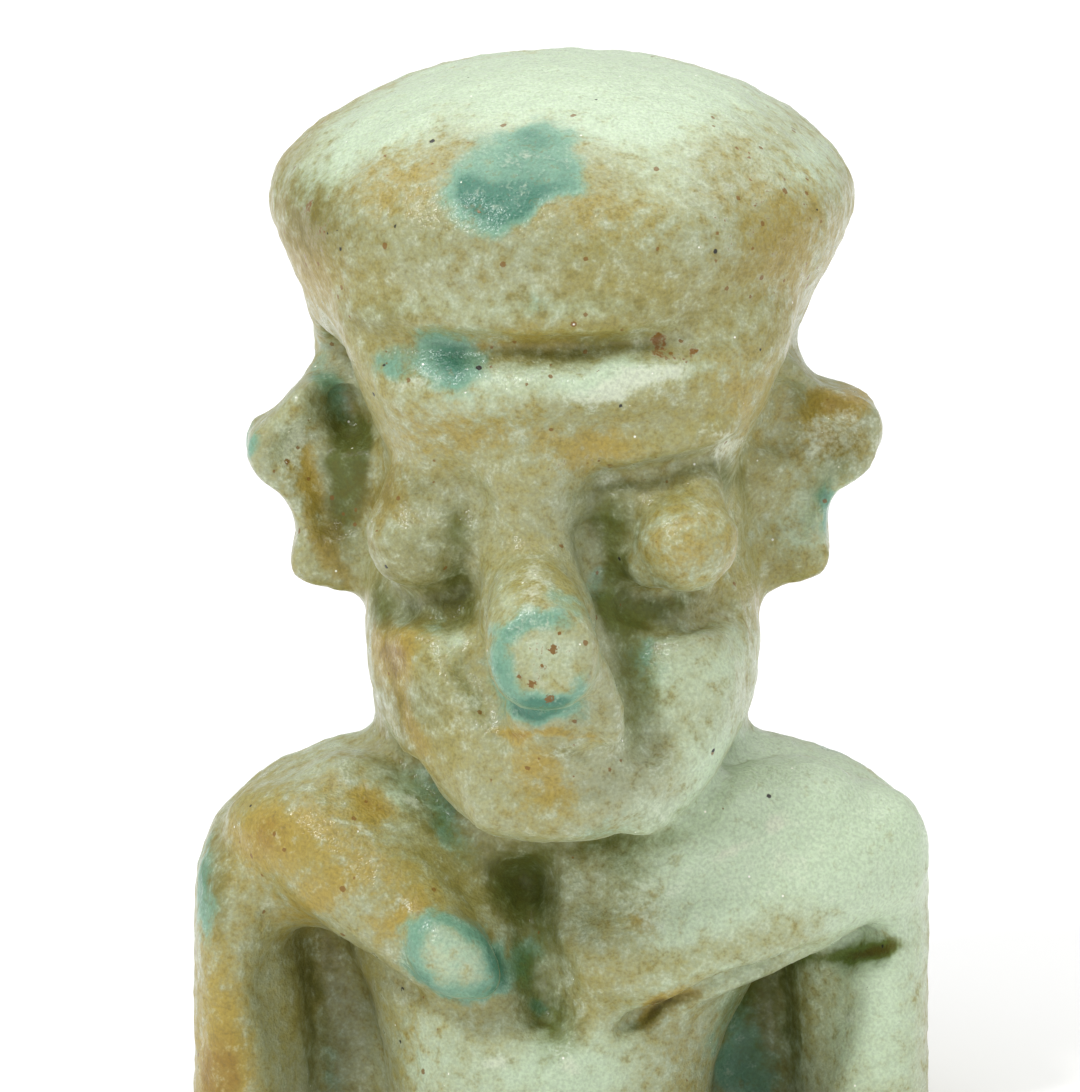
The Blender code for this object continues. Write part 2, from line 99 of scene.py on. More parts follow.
FACE = [
    (4.12, 0.14, 1.02, -3.42, -1.9), (4.4, 0.12, 1.45, -3.6, -0.8),
    (5.0, 0.06, 2.02, -3.6, 0.4), (5.5, 0.04, 2.32, -3.48, 1.2), (6.2, 0.02, 2.46, -3.26, 1.8),
    (6.7, 0.0, FACE_HALF_WIDTH, -2.98, 2.3), (7.2, 0.0, 2.44, -2.55, 2.7),
    (7.8, 0.0, 2.4, -2.3, 3.0), (8.6, 0.0, 2.3, -2.3, 3.1)]
NECK = [
    (2.5, 0.0, 2.0, -1.4, 2.0), (4.0, 0.0, 2.0, -1.6, 2.2), (4.8, 0.0, 2.25, -1.75, 2.3),
    (5.3, 0.0, 2.38, -1.8, 2.5), (6.4, 0.0, 2.3, -1.8, 2.9)]
TRUNK = [
    (BELOW, -0.14, 2.0, -2.2, 1.9), (0.0, -0.14, 2.02, -2.25, 1.95),
    (1.0, -0.12, 2.15, -2.2, 2.05), (2.0, 0.0, 2.6, -2.0, 2.15), (3.0, 0.0, 3.2, -1.85, 2.2),
    (3.8, 0.0, 3.0, -1.65, 2.1), (4.5, 0.0, 2.4, -1.3, 2.0), (5.0, 0.0, 1.6, -0.9, 1.8)]
SHOULDERS = [
    (2.46, 0.0, 4.45, -0.9, 1.5), (2.74, 0.0, SHOULDER_HALF_WIDTH, -1.35, 1.75),
    (3.07, 0.02, SHOULDER_HALF_WIDTH, -1.55, 1.9), (3.58, 0.03, 4.5, -1.5, 1.95),
    (4.05, 0.07, 4.17, -1.25, 1.9), (4.38, 0.05, 3.75, -0.95, 1.75), (4.6, 0.05, 3.2, -0.6, 1.5),
    (4.8, 0.05, 2.5, -0.2, 1.2)]
WEB = [  # closes the gaps between arms and trunk at the back
    (BELOW, 0.0, 4.3, 0.35, 1.6), (1.0, 0.0, 4.35, 0.35, 1.65), (2.6, 0.0, 4.4, 0.3, 1.75),
    (3.2, 0.0, 4.2, 0.3, 1.75)]
MASSES = [  # (squareness, rows)
    (2.25, SKULL), (3.2, FOREHEAD), (2.7, FACE), (2.0, NECK), (2.2, TRUNK), (2.4, SHOULDERS), (4.0, WEB)]
HEAD_CORE = ((0, 0.9, 8.3), (2.6, 2.65, 3.0))  # place and half sizes; fills the head behind the face


def at(across, up, deep):
    """A point read off the front drawing, which is seen from LEAN above, and set at a depth."""
    return Vector((across, deep, (up - deep * math.sin(LEAN)) / math.cos(LEAN)))


SIGHT = Vector((0, math.cos(LEAN), -math.sin(LEAN)))

# Arms: (place, half sizes) of the balls they are rolled from
ARMS = [
    [((-4.0, 0.05, 2.9), (0.66, 1.2, 0.8)), ((-4.18, -0.12, 1.9), (0.48, 1.1, 0.6)),
     ((-4.12, -0.2, 1.2), (0.54, 1.05, 0.6)), ((-4.04, -0.2, 0.4), (0.63, 1.05, 0.6)),
     ((-4.02, -0.2, BELOW), (0.64, 1.05, 0.6))],
    [((3.85, 0.05, 2.6), (0.8, 1.2, 0.8)), ((4.02, -0.12, 1.9), (0.62, 1.1, 0.6)),
     ((4.03, -0.2, 1.2), (0.62, 1.05, 0.6)), ((3.96, -0.2, 0.4), (0.7, 1.05, 0.6)),
     ((3.96, -0.2, BELOW), (0.7, 1.05, 0.6))],
    # slopes on the inner sides of the arms
    [((-3.72, 0.2, 1.9), (0.46, 0.8, 0.6)), ((-3.62, 0.25, 0.4), (0.48, 0.8, 0.6)),
     ((-3.62, 0.25, BELOW), (0.48, 0.8, 0.6))],
    [((3.44, 0.1, 1.9), (0.6, 0.75, 0.5)), ((3.44, 0.25, 0.4), (0.5, 0.75, 0.6)),
     ((3.44, 0.25, BELOW), (0.5, 0.75, 0.6))]]

# Rolls of clay laid on the masses, softened well in
SOFT_ROLLS = [
    # bridge and root of the nose
    [(at(-0.36, 8.15, -2.8), (0.7, 0.48, 0.4)), (at(-0.36, 7.6, -2.66), (0.6, 0.52, 0.4)),
     (at(-0.38, 7.0, -2.74), (0.62, 0.6, 0.45)), (at(-0.3, 6.2, -3.24), (0.74, 0.74, 0.6))],
    # cheeks
    [(at(1.42, 5.95, -2.38), (0.62, 0.48, 0.5)), (at(1.58, 5.35, -2.5), (0.62, 0.48, 0.5)),
     (at(1.42, 4.7, -2.72), (0.54, 0.42, 0.42))],
    [(at(-1.55, 6.0, -2.45), (0.55, 0.45, 0.45)), (at(-1.3, 5.45, -2.76), (0.55, 0.45, 0.5)),
     (at(-0.95, 4.95, -3.0), (0.5, 0.4, 0.4))],
    # chin
    [(at(-0.75, 3.98, -3.2), (0.5, 0.45, 0.4)), (at(0.0, 3.9, -3.3), (0.5, 0.45, 0.4)),
     (at(0.85, 4.02, -3.15), (0.5, 0.45, 0.4))],
    # breasts, one small and one like a flap
    [(at(-3.45, 3.6, -0.42), (0.8, 0.8, 0.62)), (at(-3.0, 3.45, -0.9), (0.9, 0.8, 0.8)),
     (at(-2.45, 3.0, -1.3), (0.84, 0.74, 0.76)), (at(-1.9, 2.55, -1.6), (0.74, 0.64, 0.66)),
     (at(-1.45, 2.12, -1.8), (0.62, 0.56, 0.54))],
    [(at(3.7, 3.3, -0.6), (0.95, 0.85, 0.95)), (at(2.9, 2.95, -1.15), (0.98, 0.85, 0.95)),
     (at(2.0, 2.55, -1.5), (0.98, 0.8, 0.92)), (at(1.2, 2.2, -1.65), (0.94, 0.72, 0.88)),
     (at(0.72, 1.98, -1.75), (0.74, 0.62, 0.7))],
    # upper chest, filling the hollows over the breasts
    [(at(1.0, 3.0, -1.36), (0.8, 0.76, 0.8)), (at(1.9, 3.4, -1.36), (1.0, 0.84, 0.9)),
     (at(2.9, 3.8, -0.86), (0.95, 0.84, 0.75))],
    [(at(-1.75, 3.45, -0.95), (0.6, 0.6, 0.6)), (at(-2.6, 4.0, -0.55), (0.8, 0.75, 0.6))]]
SOFT_BALLS = [
    (at(-0.1, 4.75, -3.12), (0.98, 0.72, 0.62)),  # muzzle
    (at(-1.72, 7.22, -2.22), (0.74, 0.66, 0.66)),  # swell round the flatter eye
    (at(-1.58, 7.85, -2.18), (0.66, 0.55, 0.5)),  # worn brow over it
    (at(1.05, 7.6, -2.46), (0.8, 0.48, 0.52), 12),  # floor under the brow
    (at(0.5, 7.25, -2.4), (0.52, 0.45, 0.75)),  # floors of the hollows by the nose
    (at(-1.05, 7.25, -2.4), (0.42, 0.45, 0.6))]

# Rolls and balls added last and hardly softened
CRISP_ROLLS = [
    # the knob eye
    [(at(1.22, 7.34, -2.35), (0.52, 0.5, 0.48)), (at(1.5, 7.18, -2.8), (0.67, 0.7, 0.63))],
    [(at(1.55, 7.35, -2.6), (0.46, 0.48, 0.42)), (at(1.66, 7.86, -2.5), (0.36, 0.38, 0.3))],
    # peg of the nose
    [(at(-0.38, 6.7, -3.3), (0.46, 0.48, 0.34)), (at(-0.32, 6.34, -3.7), (0.6, 0.6, 0.48)),
     (at(-0.22, 5.8, -4.22), (0.7, 0.72, 0.68))],
    # wedge of the upper lip
    [(at(-0.08, 5.35, -3.55), (0.62, 0.52, 0.35)), (at(-0.06, 4.98, -3.56), (0.66, 0.48, 0.2)),
     (at(-0.06, 4.8, -3.54), (0.66, 0.45, 0.12))],
    [(at(0.38, 5.6, -3.9), (0.2, 0.3, 0.25)), (at(0.55, 5.1, -3.82), (0.2, 0.3, 0.25)),
     (at(0.6, 4.84, -3.74), (0.18, 0.26, 0.14))]]
CRISP_BALLS = [
    (at(-1.76, 7.2, -2.34), (0.61, 0.54, 0.6)),  # the flatter eye
    (at(1.12, 6.96, -2.66), (0.46, 0.5, 0.38)),  # foot of the knob eye
    (at(-1.36, 2.06, -2.22), (0.72, 0.4, 0.47), 38)]  # nipple

# Outlines of the two-lobed ears, (across, height)
EARS = [
    [(-2.0, 9.75), (-2.9, 9.7), (-3.2, 9.43), (-3.4, 9.18), (-3.62, 8.94), (-3.92, 8.7),
     (-3.97, 8.45), (-3.82, 8.17), (-3.5, 7.92), (-3.34, 7.65), (-3.31, 7.4), (-3.42, 6.98),
     (-3.2, 6.85), (-2.64, 6.74), (-2.0, 6.6)],
    [(2.0, 9.75), (2.96, 9.7), (3.1, 9.36), (3.7, 9.22), (3.98, 8.98), (4.02, 8.7),
     (3.96, 8.45), (3.82, 8.22), (3.43, 7.95), (3.34, 7.7), (3.33, 7.44), (3.39, 7.19),
     (3.27, 6.95), (2.8, 6.82), (2.0, 6.55)]]
EAR_THICKNESS = 1.15
EAR_DEPTH = 0.05  # how far back the middle of the ears lies

FOLD_FADE = 0.2  # share of its length over which a fold fades at each end
FADE_CURVE = 0.7  # how quickly it does; 1 is even
# Folds pressed in (+) or drawn up (-): (line on the front drawing, half width, depth)
FOLDS = [
    # edge of the cap
    ([(-2.6, 9.75), (-2.0, 9.6), (-1.0, 9.53), (0.2, 9.53), (1.0, 9.58), (1.7, 9.66)], 0.18, 0.14),
    ([(-2.3, 9.92), (-1.2, 9.86), (0.3, 9.85), (1.5, 9.92)], 0.24, -0.1),
    # ridge across the forehead
    ([(-2.2, 8.8), (-1.0, 8.9), (0.2, 9.05), (1.0, 9.18), (1.7, 9.28)], 0.36, -0.14),
    # brows, one overhanging and one worn
    ([(0.4, 8.2), (1.0, 8.32), (1.6, 8.46), (2.2, 8.66)], 0.17, -0.16),
    ([(0.3, 7.9), (0.8, 7.98), (1.3, 8.1), (1.75, 8.26)], 0.11, 0.11),
    ([(-1.9, 7.8), (-1.3, 7.74), (-0.85, 7.7)], 0.2, 0.05),
    # hollows beside the nose and under the eyes
    ([(0.38, 7.5), (0.42, 7.0), (0.54, 6.5)], 0.22, 0.16),
    ([(-1.1, 7.1), (-1.14, 6.8), (-1.24, 6.4)], 0.18, 0.08),
    ([(0.6, 6.44), (1.4, 6.26), (2.2, 6.42)], 0.22, 0.28),
    ([(-2.2, 6.4), (-1.7, 6.3), (-1.1, 6.34)], 0.22, 0.14),
    # furrows beside the mouth, and the mouth
    ([(0.9, 6.2), (1.0, 5.6), (1.12, 5.0), (1.2, 4.4)], 0.36, 0.32),
    ([(-1.6, 5.65), (-1.2, 5.2), (-0.85, 4.75)], 0.16, -0.08),
    ([(-1.3, 5.75), (-0.95, 5.2), (-0.7, 4.6)], 0.18, 0.08),
    ([(-0.75, 4.76), (-0.2, 4.78), (0.3, 4.8)], 0.1, 0.06),
    # temples and the dished ears
    ([(-3.02, 9.72), (-2.86, 9.3), (-2.72, 8.8), (-2.56, 8.3)], 0.27, 0.58),
    ([(2.95, 9.2), (2.8, 8.7), (2.65, 8.2)], 0.3, 0.28),
    ([(-3.3, 8.7), (-3.0, 7.9), (-2.85, 7.2)], 0.32, 0.22),
    ([(3.4, 8.75), (3.1, 7.9), (2.9, 7.2)], 0.36, 0.24),
    # throat and the hollow between the breasts
    ([(-0.5, 3.3), (-0.42, 2.6), (-0.36, 2.0), (-0.2, 1.15)], 0.32, 0.42),
    ([(0.02, 3.2), (0.03, 2.6), (0.08, 2.0)], 0.14, -0.08),
    # valleys beside the neck
    ([(-1.9, 4.6), (-1.5, 3.9), (-1.05, 3.2), (-0.8, 2.8)], 0.3, 0.16),
    ([(1.7, 4.3), (1.0, 3.8), (0.5, 3.4)], 0.26, 0.08),
    # lower edges of the breasts, and the slit beside one arm
    ([(0.65, 1.06), (1.3, 1.38), (2.1, 1.74), (3.2, 2.1)], 0.13, 0.32),
    ([(0.8, 1.52), (1.6, 1.84), (2.5, 2.14), (3.3, 2.38)], 0.17, -0.08),
    ([(-3.0, 2.35), (-2.3, 1.88), (-1.6, 1.42)], 0.16, 0.08),
    ([(3.3, 1.98), (3.7, 2.1), (4.16, 2.17)], 0.19, 0.56)]
# Pits: (centre on the front drawing, radius, depth)
PITS = [
    ((-0.53, 3.04), 0.42, 0.38),  # throat
    ((-0.2, 1.22), 0.32, 0.3)]  # foot of the hollow between the breasts
NOSE_END = at(-0.22, 5.8, -4.56)  # centre of the flat, worn end of the nose
NOSE_END_RADIUS = 0.8
NOSE_END_WEAR = 0.78  # how far the end is worn back to its disc, out of 1

# Weathering: (name, size of its features, height from dip to crest)
WEAR = [("slow waver", 1.1, 0.08), ("dents", 0.42, 0.06), ("tooth", 0.2, 0.025)]
SMOOTH_BELOW = math.radians(50)  # sharper edges than this stay crisp

# Shelter of the hollows, laid on as painted shade: how many ways each place is looked out from, and how far
RAYS = 12
SHELTER_REACH = 1.6
OFF_SKIN = 0.02  # where the looks start
SHELTER_RANGE = (0.25, 0.95)  # share of them stopped, from no shelter to full shelter
SHELTER_SHADE = 0.55  # how much painted shade, laid with the soil, it adds

# Worn edges, by how far they stand off a softened copy of the skin
EDGE_REACH = 0.28
EDGE_RANGE = (0.015, 0.06)
EDGE_WEAR = 0.45

# How the paint is laid
PAINT_WAVER = 0.16  # how far the edges of patches stray
WAVER_SIZE = 0.7
WAVER_LAGS = (3, 11)  # across and up; a lag is a shift that makes one drift unlike another
FRONT_RANGE = (-0.1, 0.3)  # how squarely the skin faces the front drawing, from no paint to all of it
TONE_SIZE, TONE_LAG = 2.2, 7
TONE_MIDDLE, TONE_SWING, TONE_WAVER = 0.5, 0.45, 0.3
FALLOFF, STEP = 1, 2  # each finer layer of a drift is half as strong and twice as fine
ARC_CURVE = 0.6  # how quickly an arc of pooled glaze fades towards its ends; 1 is even
MOST_PAINT = 1.5
# Patches on the sides and back: (tint, lag, size, from, to, strength)
BEHIND = [
    ("ochre", 5, 1.9, -0.3, 0.7, 0.65), ("mint_and_highlight", 4, 2.6, -0.4, 0.6, 0.9),
    ("turquoise", 9, 1.6, 0.2, 0.9, 0.7)]

# Paint seen on the front drawing, by tint and place:
# (across, up, half width, half height, strength, and the turn of one that isn't upright)
PAINT = {
    "turquoise": {
        "cap": [
            (-0.15, 12.12, 0.56, 0.15, 0.7, 6), (-0.95, 11.34, 0.44, 0.26, 1.8, -12),
            (-0.3, 11.34, 0.52, 0.18, 1.1, 8), (-0.44, 11.8, 0.6, 0.34, 1.0), (-1.05, 11.75, 0.18, 0.34, 0.2),
            (0.08, 11.66, 0.2, 0.26, 0.5), (-0.33, 10.02, 0.26, 0.14, 0.4, -30)],
        "forehead": [(-1.34, 9.36, 0.44, 0.34, 1.5), (-2.08, 9.34, 0.2, 0.22, 0.7)],
        "ears": [
            (-3.97, 8.45, 0.13, 0.32, 1.4), (3.28, 7.6, 0.14, 0.28, 1.2), (-2.88, 9.15, 0.22, 0.5, 0.7, 10)],
        "eyes": [(0.44, 6.7, 0.24, 0.34, 0.45), (-1.7, 6.2, 0.3, 0.2, 0.3)],
        "nose": [(-0.24, 5.16, 0.36, 0.13, 0.8)],
        "cheeks": [(0.95, 5.8, 0.24, 0.24, 0.4), (1.05, 5.4, 0.2, 0.6, 0.3, 8)],
        "neck": [(-1.5, 3.75, 0.24, 0.8, 0.6, 32), (0.6, 3.6, 0.5, 0.2, 0.35, 20)],
        "throat": [(-0.2, 1.32, 0.12, 0.12, 0.9), (-0.39, 2.0, 0.24, 0.45, 0.7)],
        "chest": [(-1.3, 2.05, 0.55, 0.36, 0.42, -37)],
        "arms": [(-4.5, 2.95, 0.16, 0.75, 1.0)],
        "recesses": [(2.35, 0.6, 0.34, 0.8, 1.0, 10), (-2.85, 0.5, 0.2, 0.5, 0.4)]},
    "mint_and_highlight": {
        "cap": [
            (0.3, 13.05, 3.6, 0.8, 1.5), (1.2, 11.75, 0.6, 0.8, 0.45, 10), (-2.6, 12.0, 0.9, 0.4, 0.9, 30),
            (0.4, 12.4, 1.6, 0.5, 0.3), (-1.5, 10.05, 1.3, 0.2, 0.35), (3.15, 11.8, 0.5, 0.5, 0.7),
            (0.3, 10.0, 0.9, 0.2, 0.4)],
        # Mostly painted highlight: pale glaze laid along the forehead ridge where it catches the light
        "forehead": [
            (-1.0, 8.75, 0.9, 0.35, 0.3), (-0.2, 9.15, 1.8, 0.2, 0.7, 4), (0.7, 9.13, 0.8, 0.2, 0.8, 8)],
        # Partly painted light: the ears made lighter where the cap keeps light off them
        "ears": [(-3.4, 8.45, 0.3, 0.5, 0.6), (3.35, 7.9, 0.45, 0.4, 0.6), (3.0, 7.3, 0.4, 0.4, 0.9)],
        "eyes": [(1.45, 7.1, 0.5, 0.5, 0.5), (-0.76, 6.35, 0.2, 0.4, 0.4)],
        "nose": [(-0.18, 5.8, 0.5, 0.5, 0.6)],
        "cheeks": [
            (1.75, 5.7, 0.5, 0.5, 0.4), (2.2, 5.9, 0.3, 0.4, 0.5), (-1.42, 5.95, 0.3, 0.3, 0.7),
            (1.2, 5.55, 0.3, 0.6, 0.5), (-1.55, 5.15, 0.32, 0.45, 0.2)],
        "neck": [(1.4, 3.85, 0.7, 0.25, 0.4, 25)],
        "shoulders": [
            (3.3, 3.9, 1.6, 1.0, 1.4, -25), (2.3, 4.35, 0.6, 0.4, 0.8), (-2.9, 4.6, 0.7, 0.26, 0.4, 30),
            (-2.0, 4.05, 0.3, 0.3, 0.8)],
        "chest": [
            (1.9, 3.1, 1.5, 0.8, 1.0, 20), (-1.33, 2.05, 0.55, 0.36, 0.9, -37), (1.9, 1.7, 1.4, 0.3, 0.5, 20),
            (1.7, 2.4, 0.8, 0.3, 0.4, 20)],
        "arms": [(4.0, 1.4, 0.8, 1.8, 1.0)],
        "belly": [(0.0, 0.55, 1.3, 0.6, 1.1), (-1.65, 0.8, 0.4, 0.8, 0.5)]},
    "ochre": {
        "cap": [
            (0.2, 11.3, 0.35, 0.3, 0.3), (-1.8, 11.8, 0.4, 0.4, 0.4), (-1.05, 10.6, 0.6, 0.35, 0.3),
            (-3.2, 10.6, 0.6, 0.9, 0.9), (2.75, 10.8, 0.75, 0.9, 0.8), (0.2, 11.0, 0.9, 0.3, 0.25, 10),
            (-2.2, 11.4, 0.5, 0.35, 0.5), (1.0, 10.9, 0.5, 0.4, 0.3)],
        "forehead": [
            (0.35, 8.3, 0.6, 0.3, 0.8, 10), (2.2, 8.9, 0.5, 0.7, 0.5, 30), (-1.2, 8.5, 1.0, 0.35, 0.6),
            (-0.6, 9.62, 1.4, 0.16, 0.6)],
        "ears": [
            (-2.85, 7.05, 0.22, 0.42, 1.1, 10), (-3.14, 7.95, 0.16, 0.5, 1.1, 10),
            (3.4, 8.6, 0.45, 0.55, 0.6), (3.0, 7.3, 0.4, 0.5, 0.4), (-3.45, 8.0, 0.16, 0.4, 0.3),
            (3.5, 8.95, 0.45, 0.2, 0.9, 15)],
        "eyes": [(1.45, 7.1, 0.6, 0.5, 0.7), (-2.25, 7.8, 0.45, 0.45, 0.7)],
        "cheeks": [(-2.1, 5.78, 0.24, 0.46, 1.5), (-1.86, 4.95, 0.14, 0.5, 1.1, 14)],
        "mouth and chin": [
            (-0.15, 4.08, 0.5, 0.28, 0.8), (-0.38, 4.48, 0.34, 0.2, 0.9), (-0.6, 4.82, 0.14, 0.12, 1.2),
            (-0.2, 4.86, 0.55, 0.05, 1.3)],
        "shoulders": [
            (-3.72, 3.48, 0.46, 0.3, 0.9, 40), (-2.32, 3.88, 0.2, 0.24, 1.1, 20),
            (-3.2, 3.5, 1.0, 0.6, 0.7, 30)],
        "chest": [
            (-2.9, 2.8, 0.7, 0.3, 0.8, 35), (1.05, 2.5, 0.34, 0.26, 0.6, 10), (1.28, 1.4, 0.4, 0.12, 1.5, 25),
            (-2.0, 2.85, 0.6, 0.4, 0.5, -30), (-2.0, 2.5, 0.42, 0.16, 0.8, 30)],
        "arms": [(-4.35, 1.0, 0.42, 1.4, 0.9), (-4.3, 0.35, 0.4, 0.6, 1.2), (3.88, 2.1, 0.26, 0.1, 1.2, 10)],
        "belly": [(-1.9, 0.9, 0.4, 0.9, 0.3, 20), (1.6, 0.7, 0.4, 0.7, 0.3)]},
    "speckle": {
        "head": [(0.0, 8.6, 4.5, 4.5, 0.2)],
        "cap": [(-3.0, 10.95, 0.5, 0.85, 0.7), (2.55, 11.1, 0.75, 1.1, 0.7)],
        "forehead": [
            (-0.8, 9.15, 0.8, 0.3, 0.3), (1.28, 9.68, 0.16, 0.26, 1.3, -15),
            (1.56, 9.42, 0.12, 0.2, 1.2, -35), (0.35, 8.3, 0.5, 0.3, 0.5, 10), (0.5, 9.45, 1.2, 0.2, 0.3)],
        "ears": [(-3.4, 8.3, 0.3, 0.5, 0.3)],
        "eyes": [(-2.3, 7.8, 0.5, 0.5, 0.4)],
        "nose": [(-0.2, 5.72, 0.36, 0.38, 0.9)],
        "mouth and chin": [(-0.25, 4.3, 0.6, 0.4, 0.5)]},
    # Wear and painted highlights: chalky glaze where it is rubbed, and pale patches painted where the
    # forehead ridge, nose, jaw, shoulders, chest and belly catch the light
    "worn": {
        "cap": [(-0.45, 11.84, 0.4, 0.12, 0.8, 8)],
        "forehead": [
            (0.66, 9.06, 0.6, 0.16, 1.5, 12), (1.22, 9.22, 0.3, 0.16, 1.3, 15),
            (-0.5, 9.06, 0.6, 0.14, 0.5, 5), (2.02, 8.42, 0.36, 0.12, 1.6, 20), (-1.8, 9.1, 0.45, 0.14, 1.0)],
        # Partly painted light: the ears made lighter where the cap keeps light off them
        "ears": [(3.4, 8.55, 0.45, 0.55, 1.5), (-3.38, 8.3, 0.22, 0.6, 1.2)],
        "eyes": [(1.45, 7.2, 0.4, 0.3, 0.7)],
        "nose": [(-0.36, 6.6, 0.26, 0.34, 0.9), (-0.18, 5.78, 0.4, 0.42, 0.5)],
        "cheeks": [(-1.15, 5.15, 0.26, 0.55, 0.5, -35)],
        "mouth and chin": [(0.62, 4.8, 0.16, 0.2, 0.7, 20), (-0.12, 4.6, 0.4, 0.14, 0.7)],
        "neck": [(1.3, 3.85, 0.5, 0.16, 0.6, 25)],
        "shoulders": [
            (-2.45, 3.6, 0.26, 0.09, 1.3, -40), (-1.93, 3.95, 0.16, 0.09, 1.3, -45),
            (2.68, 3.7, 0.14, 0.12, 1.3), (2.1, 3.3, 0.26, 0.06, 1.2, 25)],
        "chest": [
            (-1.4, 2.2, 0.3, 0.14, 0.5, -37), (-2.0, 2.65, 0.14, 0.1, 1.2, -30),
            (2.6, 3.0, 1.6, 0.7, 0.5, 20), (0.95, 2.6, 0.4, 0.36, 0.8)],
        "arms": [(3.6, 1.25, 0.16, 0.1, 1.0, 20)],
        "belly": [(0.14, 0.68, 0.2, 0.08, 1.3, -35), (-0.8, 0.75, 0.18, 0.12, 1.0)]},
    # Soil and painted shade: dark olive dabs in the hollows, creases and recesses by the arms, and painted
    # shade under the brows, eyes, chin and breasts; negative dabs take painted shade away
    "soil_and_shade": {
        "cap": [
            (-0.8, 10.7, 2.6, 0.6, 0.3), (-3.1, 11.2, 0.6, 0.8, 0.6), (0.6, 10.0, 1.8, 0.2, 0.3),
            (-2.3, 9.9, 0.6, 0.24, 0.4), (2.6, 10.8, 0.8, 1.0, 0.3)],
        "forehead": [(0.0, 9.5, 2.3, 0.2, 0.55, 2)],
        "ears": [
            (-2.62, 8.36, 0.2, 0.38, 2.0, 8), (-2.78, 7.55, 0.28, 0.75, 1.0),
            (2.75, 8.3, 0.22, 0.6, 0.3, -12), (3.2, 8.55, 0.6, 0.6, -0.7)],
        "eyes": [
            (1.1, 6.38, 0.75, 0.24, 0.9, 4), (-1.55, 6.34, 0.6, 0.22, 0.7, -4),
            (-1.22, 6.6, 0.18, 0.5, 0.5, 5), (0.68, 6.3, 0.16, 0.7, 0.8, 8), (1.05, 7.96, 0.8, 0.07, 0.5, 14),
            (-2.26, 7.82, 0.34, 0.3, 0.5), (-2.28, 6.45, 0.25, 0.3, 0.7), (-1.85, 7.0, 0.6, 0.5, 0.45),
            (-1.7, 7.95, 0.35, 0.2, 0.4), (0.62, 7.4, 0.36, 0.5, 0.9), (2.05, 8.0, 0.24, 0.4, 0.8, 20),
            (-1.25, 7.35, 0.22, 0.3, 0.7)],
        "cheeks": [
            (0.95, 5.25, 0.24, 0.8, 0.7, 8), (-1.62, 5.15, 0.36, 0.5, 0.45), (-2.1, 5.4, 0.2, 0.8, 0.5, 10),
            (1.75, 5.0, 0.5, 0.6, 0.2)],
        "mouth and chin": [(0.1, 4.58, 0.5, 0.08, 0.5)],
        "neck": [
            (-1.5, 3.85, 0.24, 0.8, 0.6, 32), (1.5, 3.95, 0.4, 0.16, 0.4, 25),
            (0.25, 3.4, 1.2, 0.18, 0.5, 12)],
        "throat": [
            (-0.5, 2.92, 0.46, 0.46, 0.95, 10), (-0.3, 1.75, 0.36, 0.95, 0.85, 6),
            (0.05, 1.1, 0.2, 0.3, 0.5)],
        "chest": [
            (2.4, 1.5, 0.5, 0.24, 0.5, 25), (1.3, 1.36, 0.42, 0.1, 1.1, 25), (0.85, 3.05, 0.6, 0.16, 0.5, 22),
            (3.4, 1.94, 0.34, 0.09, 0.8, 12)],
        "arms": [
            (3.88, 2.1, 0.28, 0.13, 2.0, 10), (-4.32, 3.2, 0.24, 0.6, 0.5), (3.62, 0.7, 0.2, 1.0, -0.6, 4),
            (-4.3, 2.4, 0.25, 0.6, 0.4)],
        "recesses": [
            (-2.92, 1.0, 0.36, 1.3, 0.35, 15), (2.75, 0.9, 0.2, 1.0, 0.2, 6), (2.45, 0.8, 0.3, 0.9, 0.55, 8),
            (3.0, 0.8, 0.22, 1.0, 0.3, 4)]}}
# Arcs of pooled glaze round the worn end of the nose and the small breast:
# (centre, half sizes, turn, rows of (width, angle of the middle, strength))
ARCS = [
    ((-0.2, 5.76), (0.6, 0.6), 0, [(0.16, -95, 1.0)]), ((-0.2, 5.76), (0.56, 0.6), 0, [(0.18, 125, 0.9)]),
    ((-1.33, 2.02), (0.65, 0.41), -37, [(0.11, 20, 1.0), (0.11, -80, 0.65), (0.12, 170, 0.7)])]
# Rusty spots on the end of the nose: (across, up, radius), and how far forward they start
NOSE_SPOTS = [(-0.11, 5.92, 0.06), (-0.36, 5.5, 0.05), (-0.16, 5.33, 0.055), (-0.52, 5.6, 0.03),
              (-0.03, 6.12, 0.03), (-0.24, 5.72, 0.025)]
NOSE_SPOT_DEPTH = -3.9
NOSE_SPOT_STRENGTH = 0.9

# Glaze. Features to the millimetre of the mottle, the grain and the scattered specks
MOTTLE_PER_MM = 5.0
GRAIN_PER_MM = 24
SPECKS_PER_MM = 7
# How far the mottle or the grain moves each layer up and down
SWING = {"tone": 1.6, "mint_and_highlight": 0.9, "ochre": -1.5, "turquoise": 0.8, "soil_and_shade": -0.8,
         "fine": 0.35, "worn": 1.9, "rust": 3.2, "speck": 0.2, "spot": 2.0}
# Layers of colour over the body: (colour, tint it follows, value where it starts, value where it covers)
COATS = [
    ("mint_and_highlight", "mint_and_highlight", 0.0, 1.1), ("ochre", "ochre", 0.1, 1.0), ("umber", "ochre", 0.9, 1.9),
    ("verdigris", "turquoise", 0.15, 0.75), ("turquoise", "turquoise", 0.6, 1.4), ("soil_and_shade", "soil_and_shade", 0.05, 1.1)]
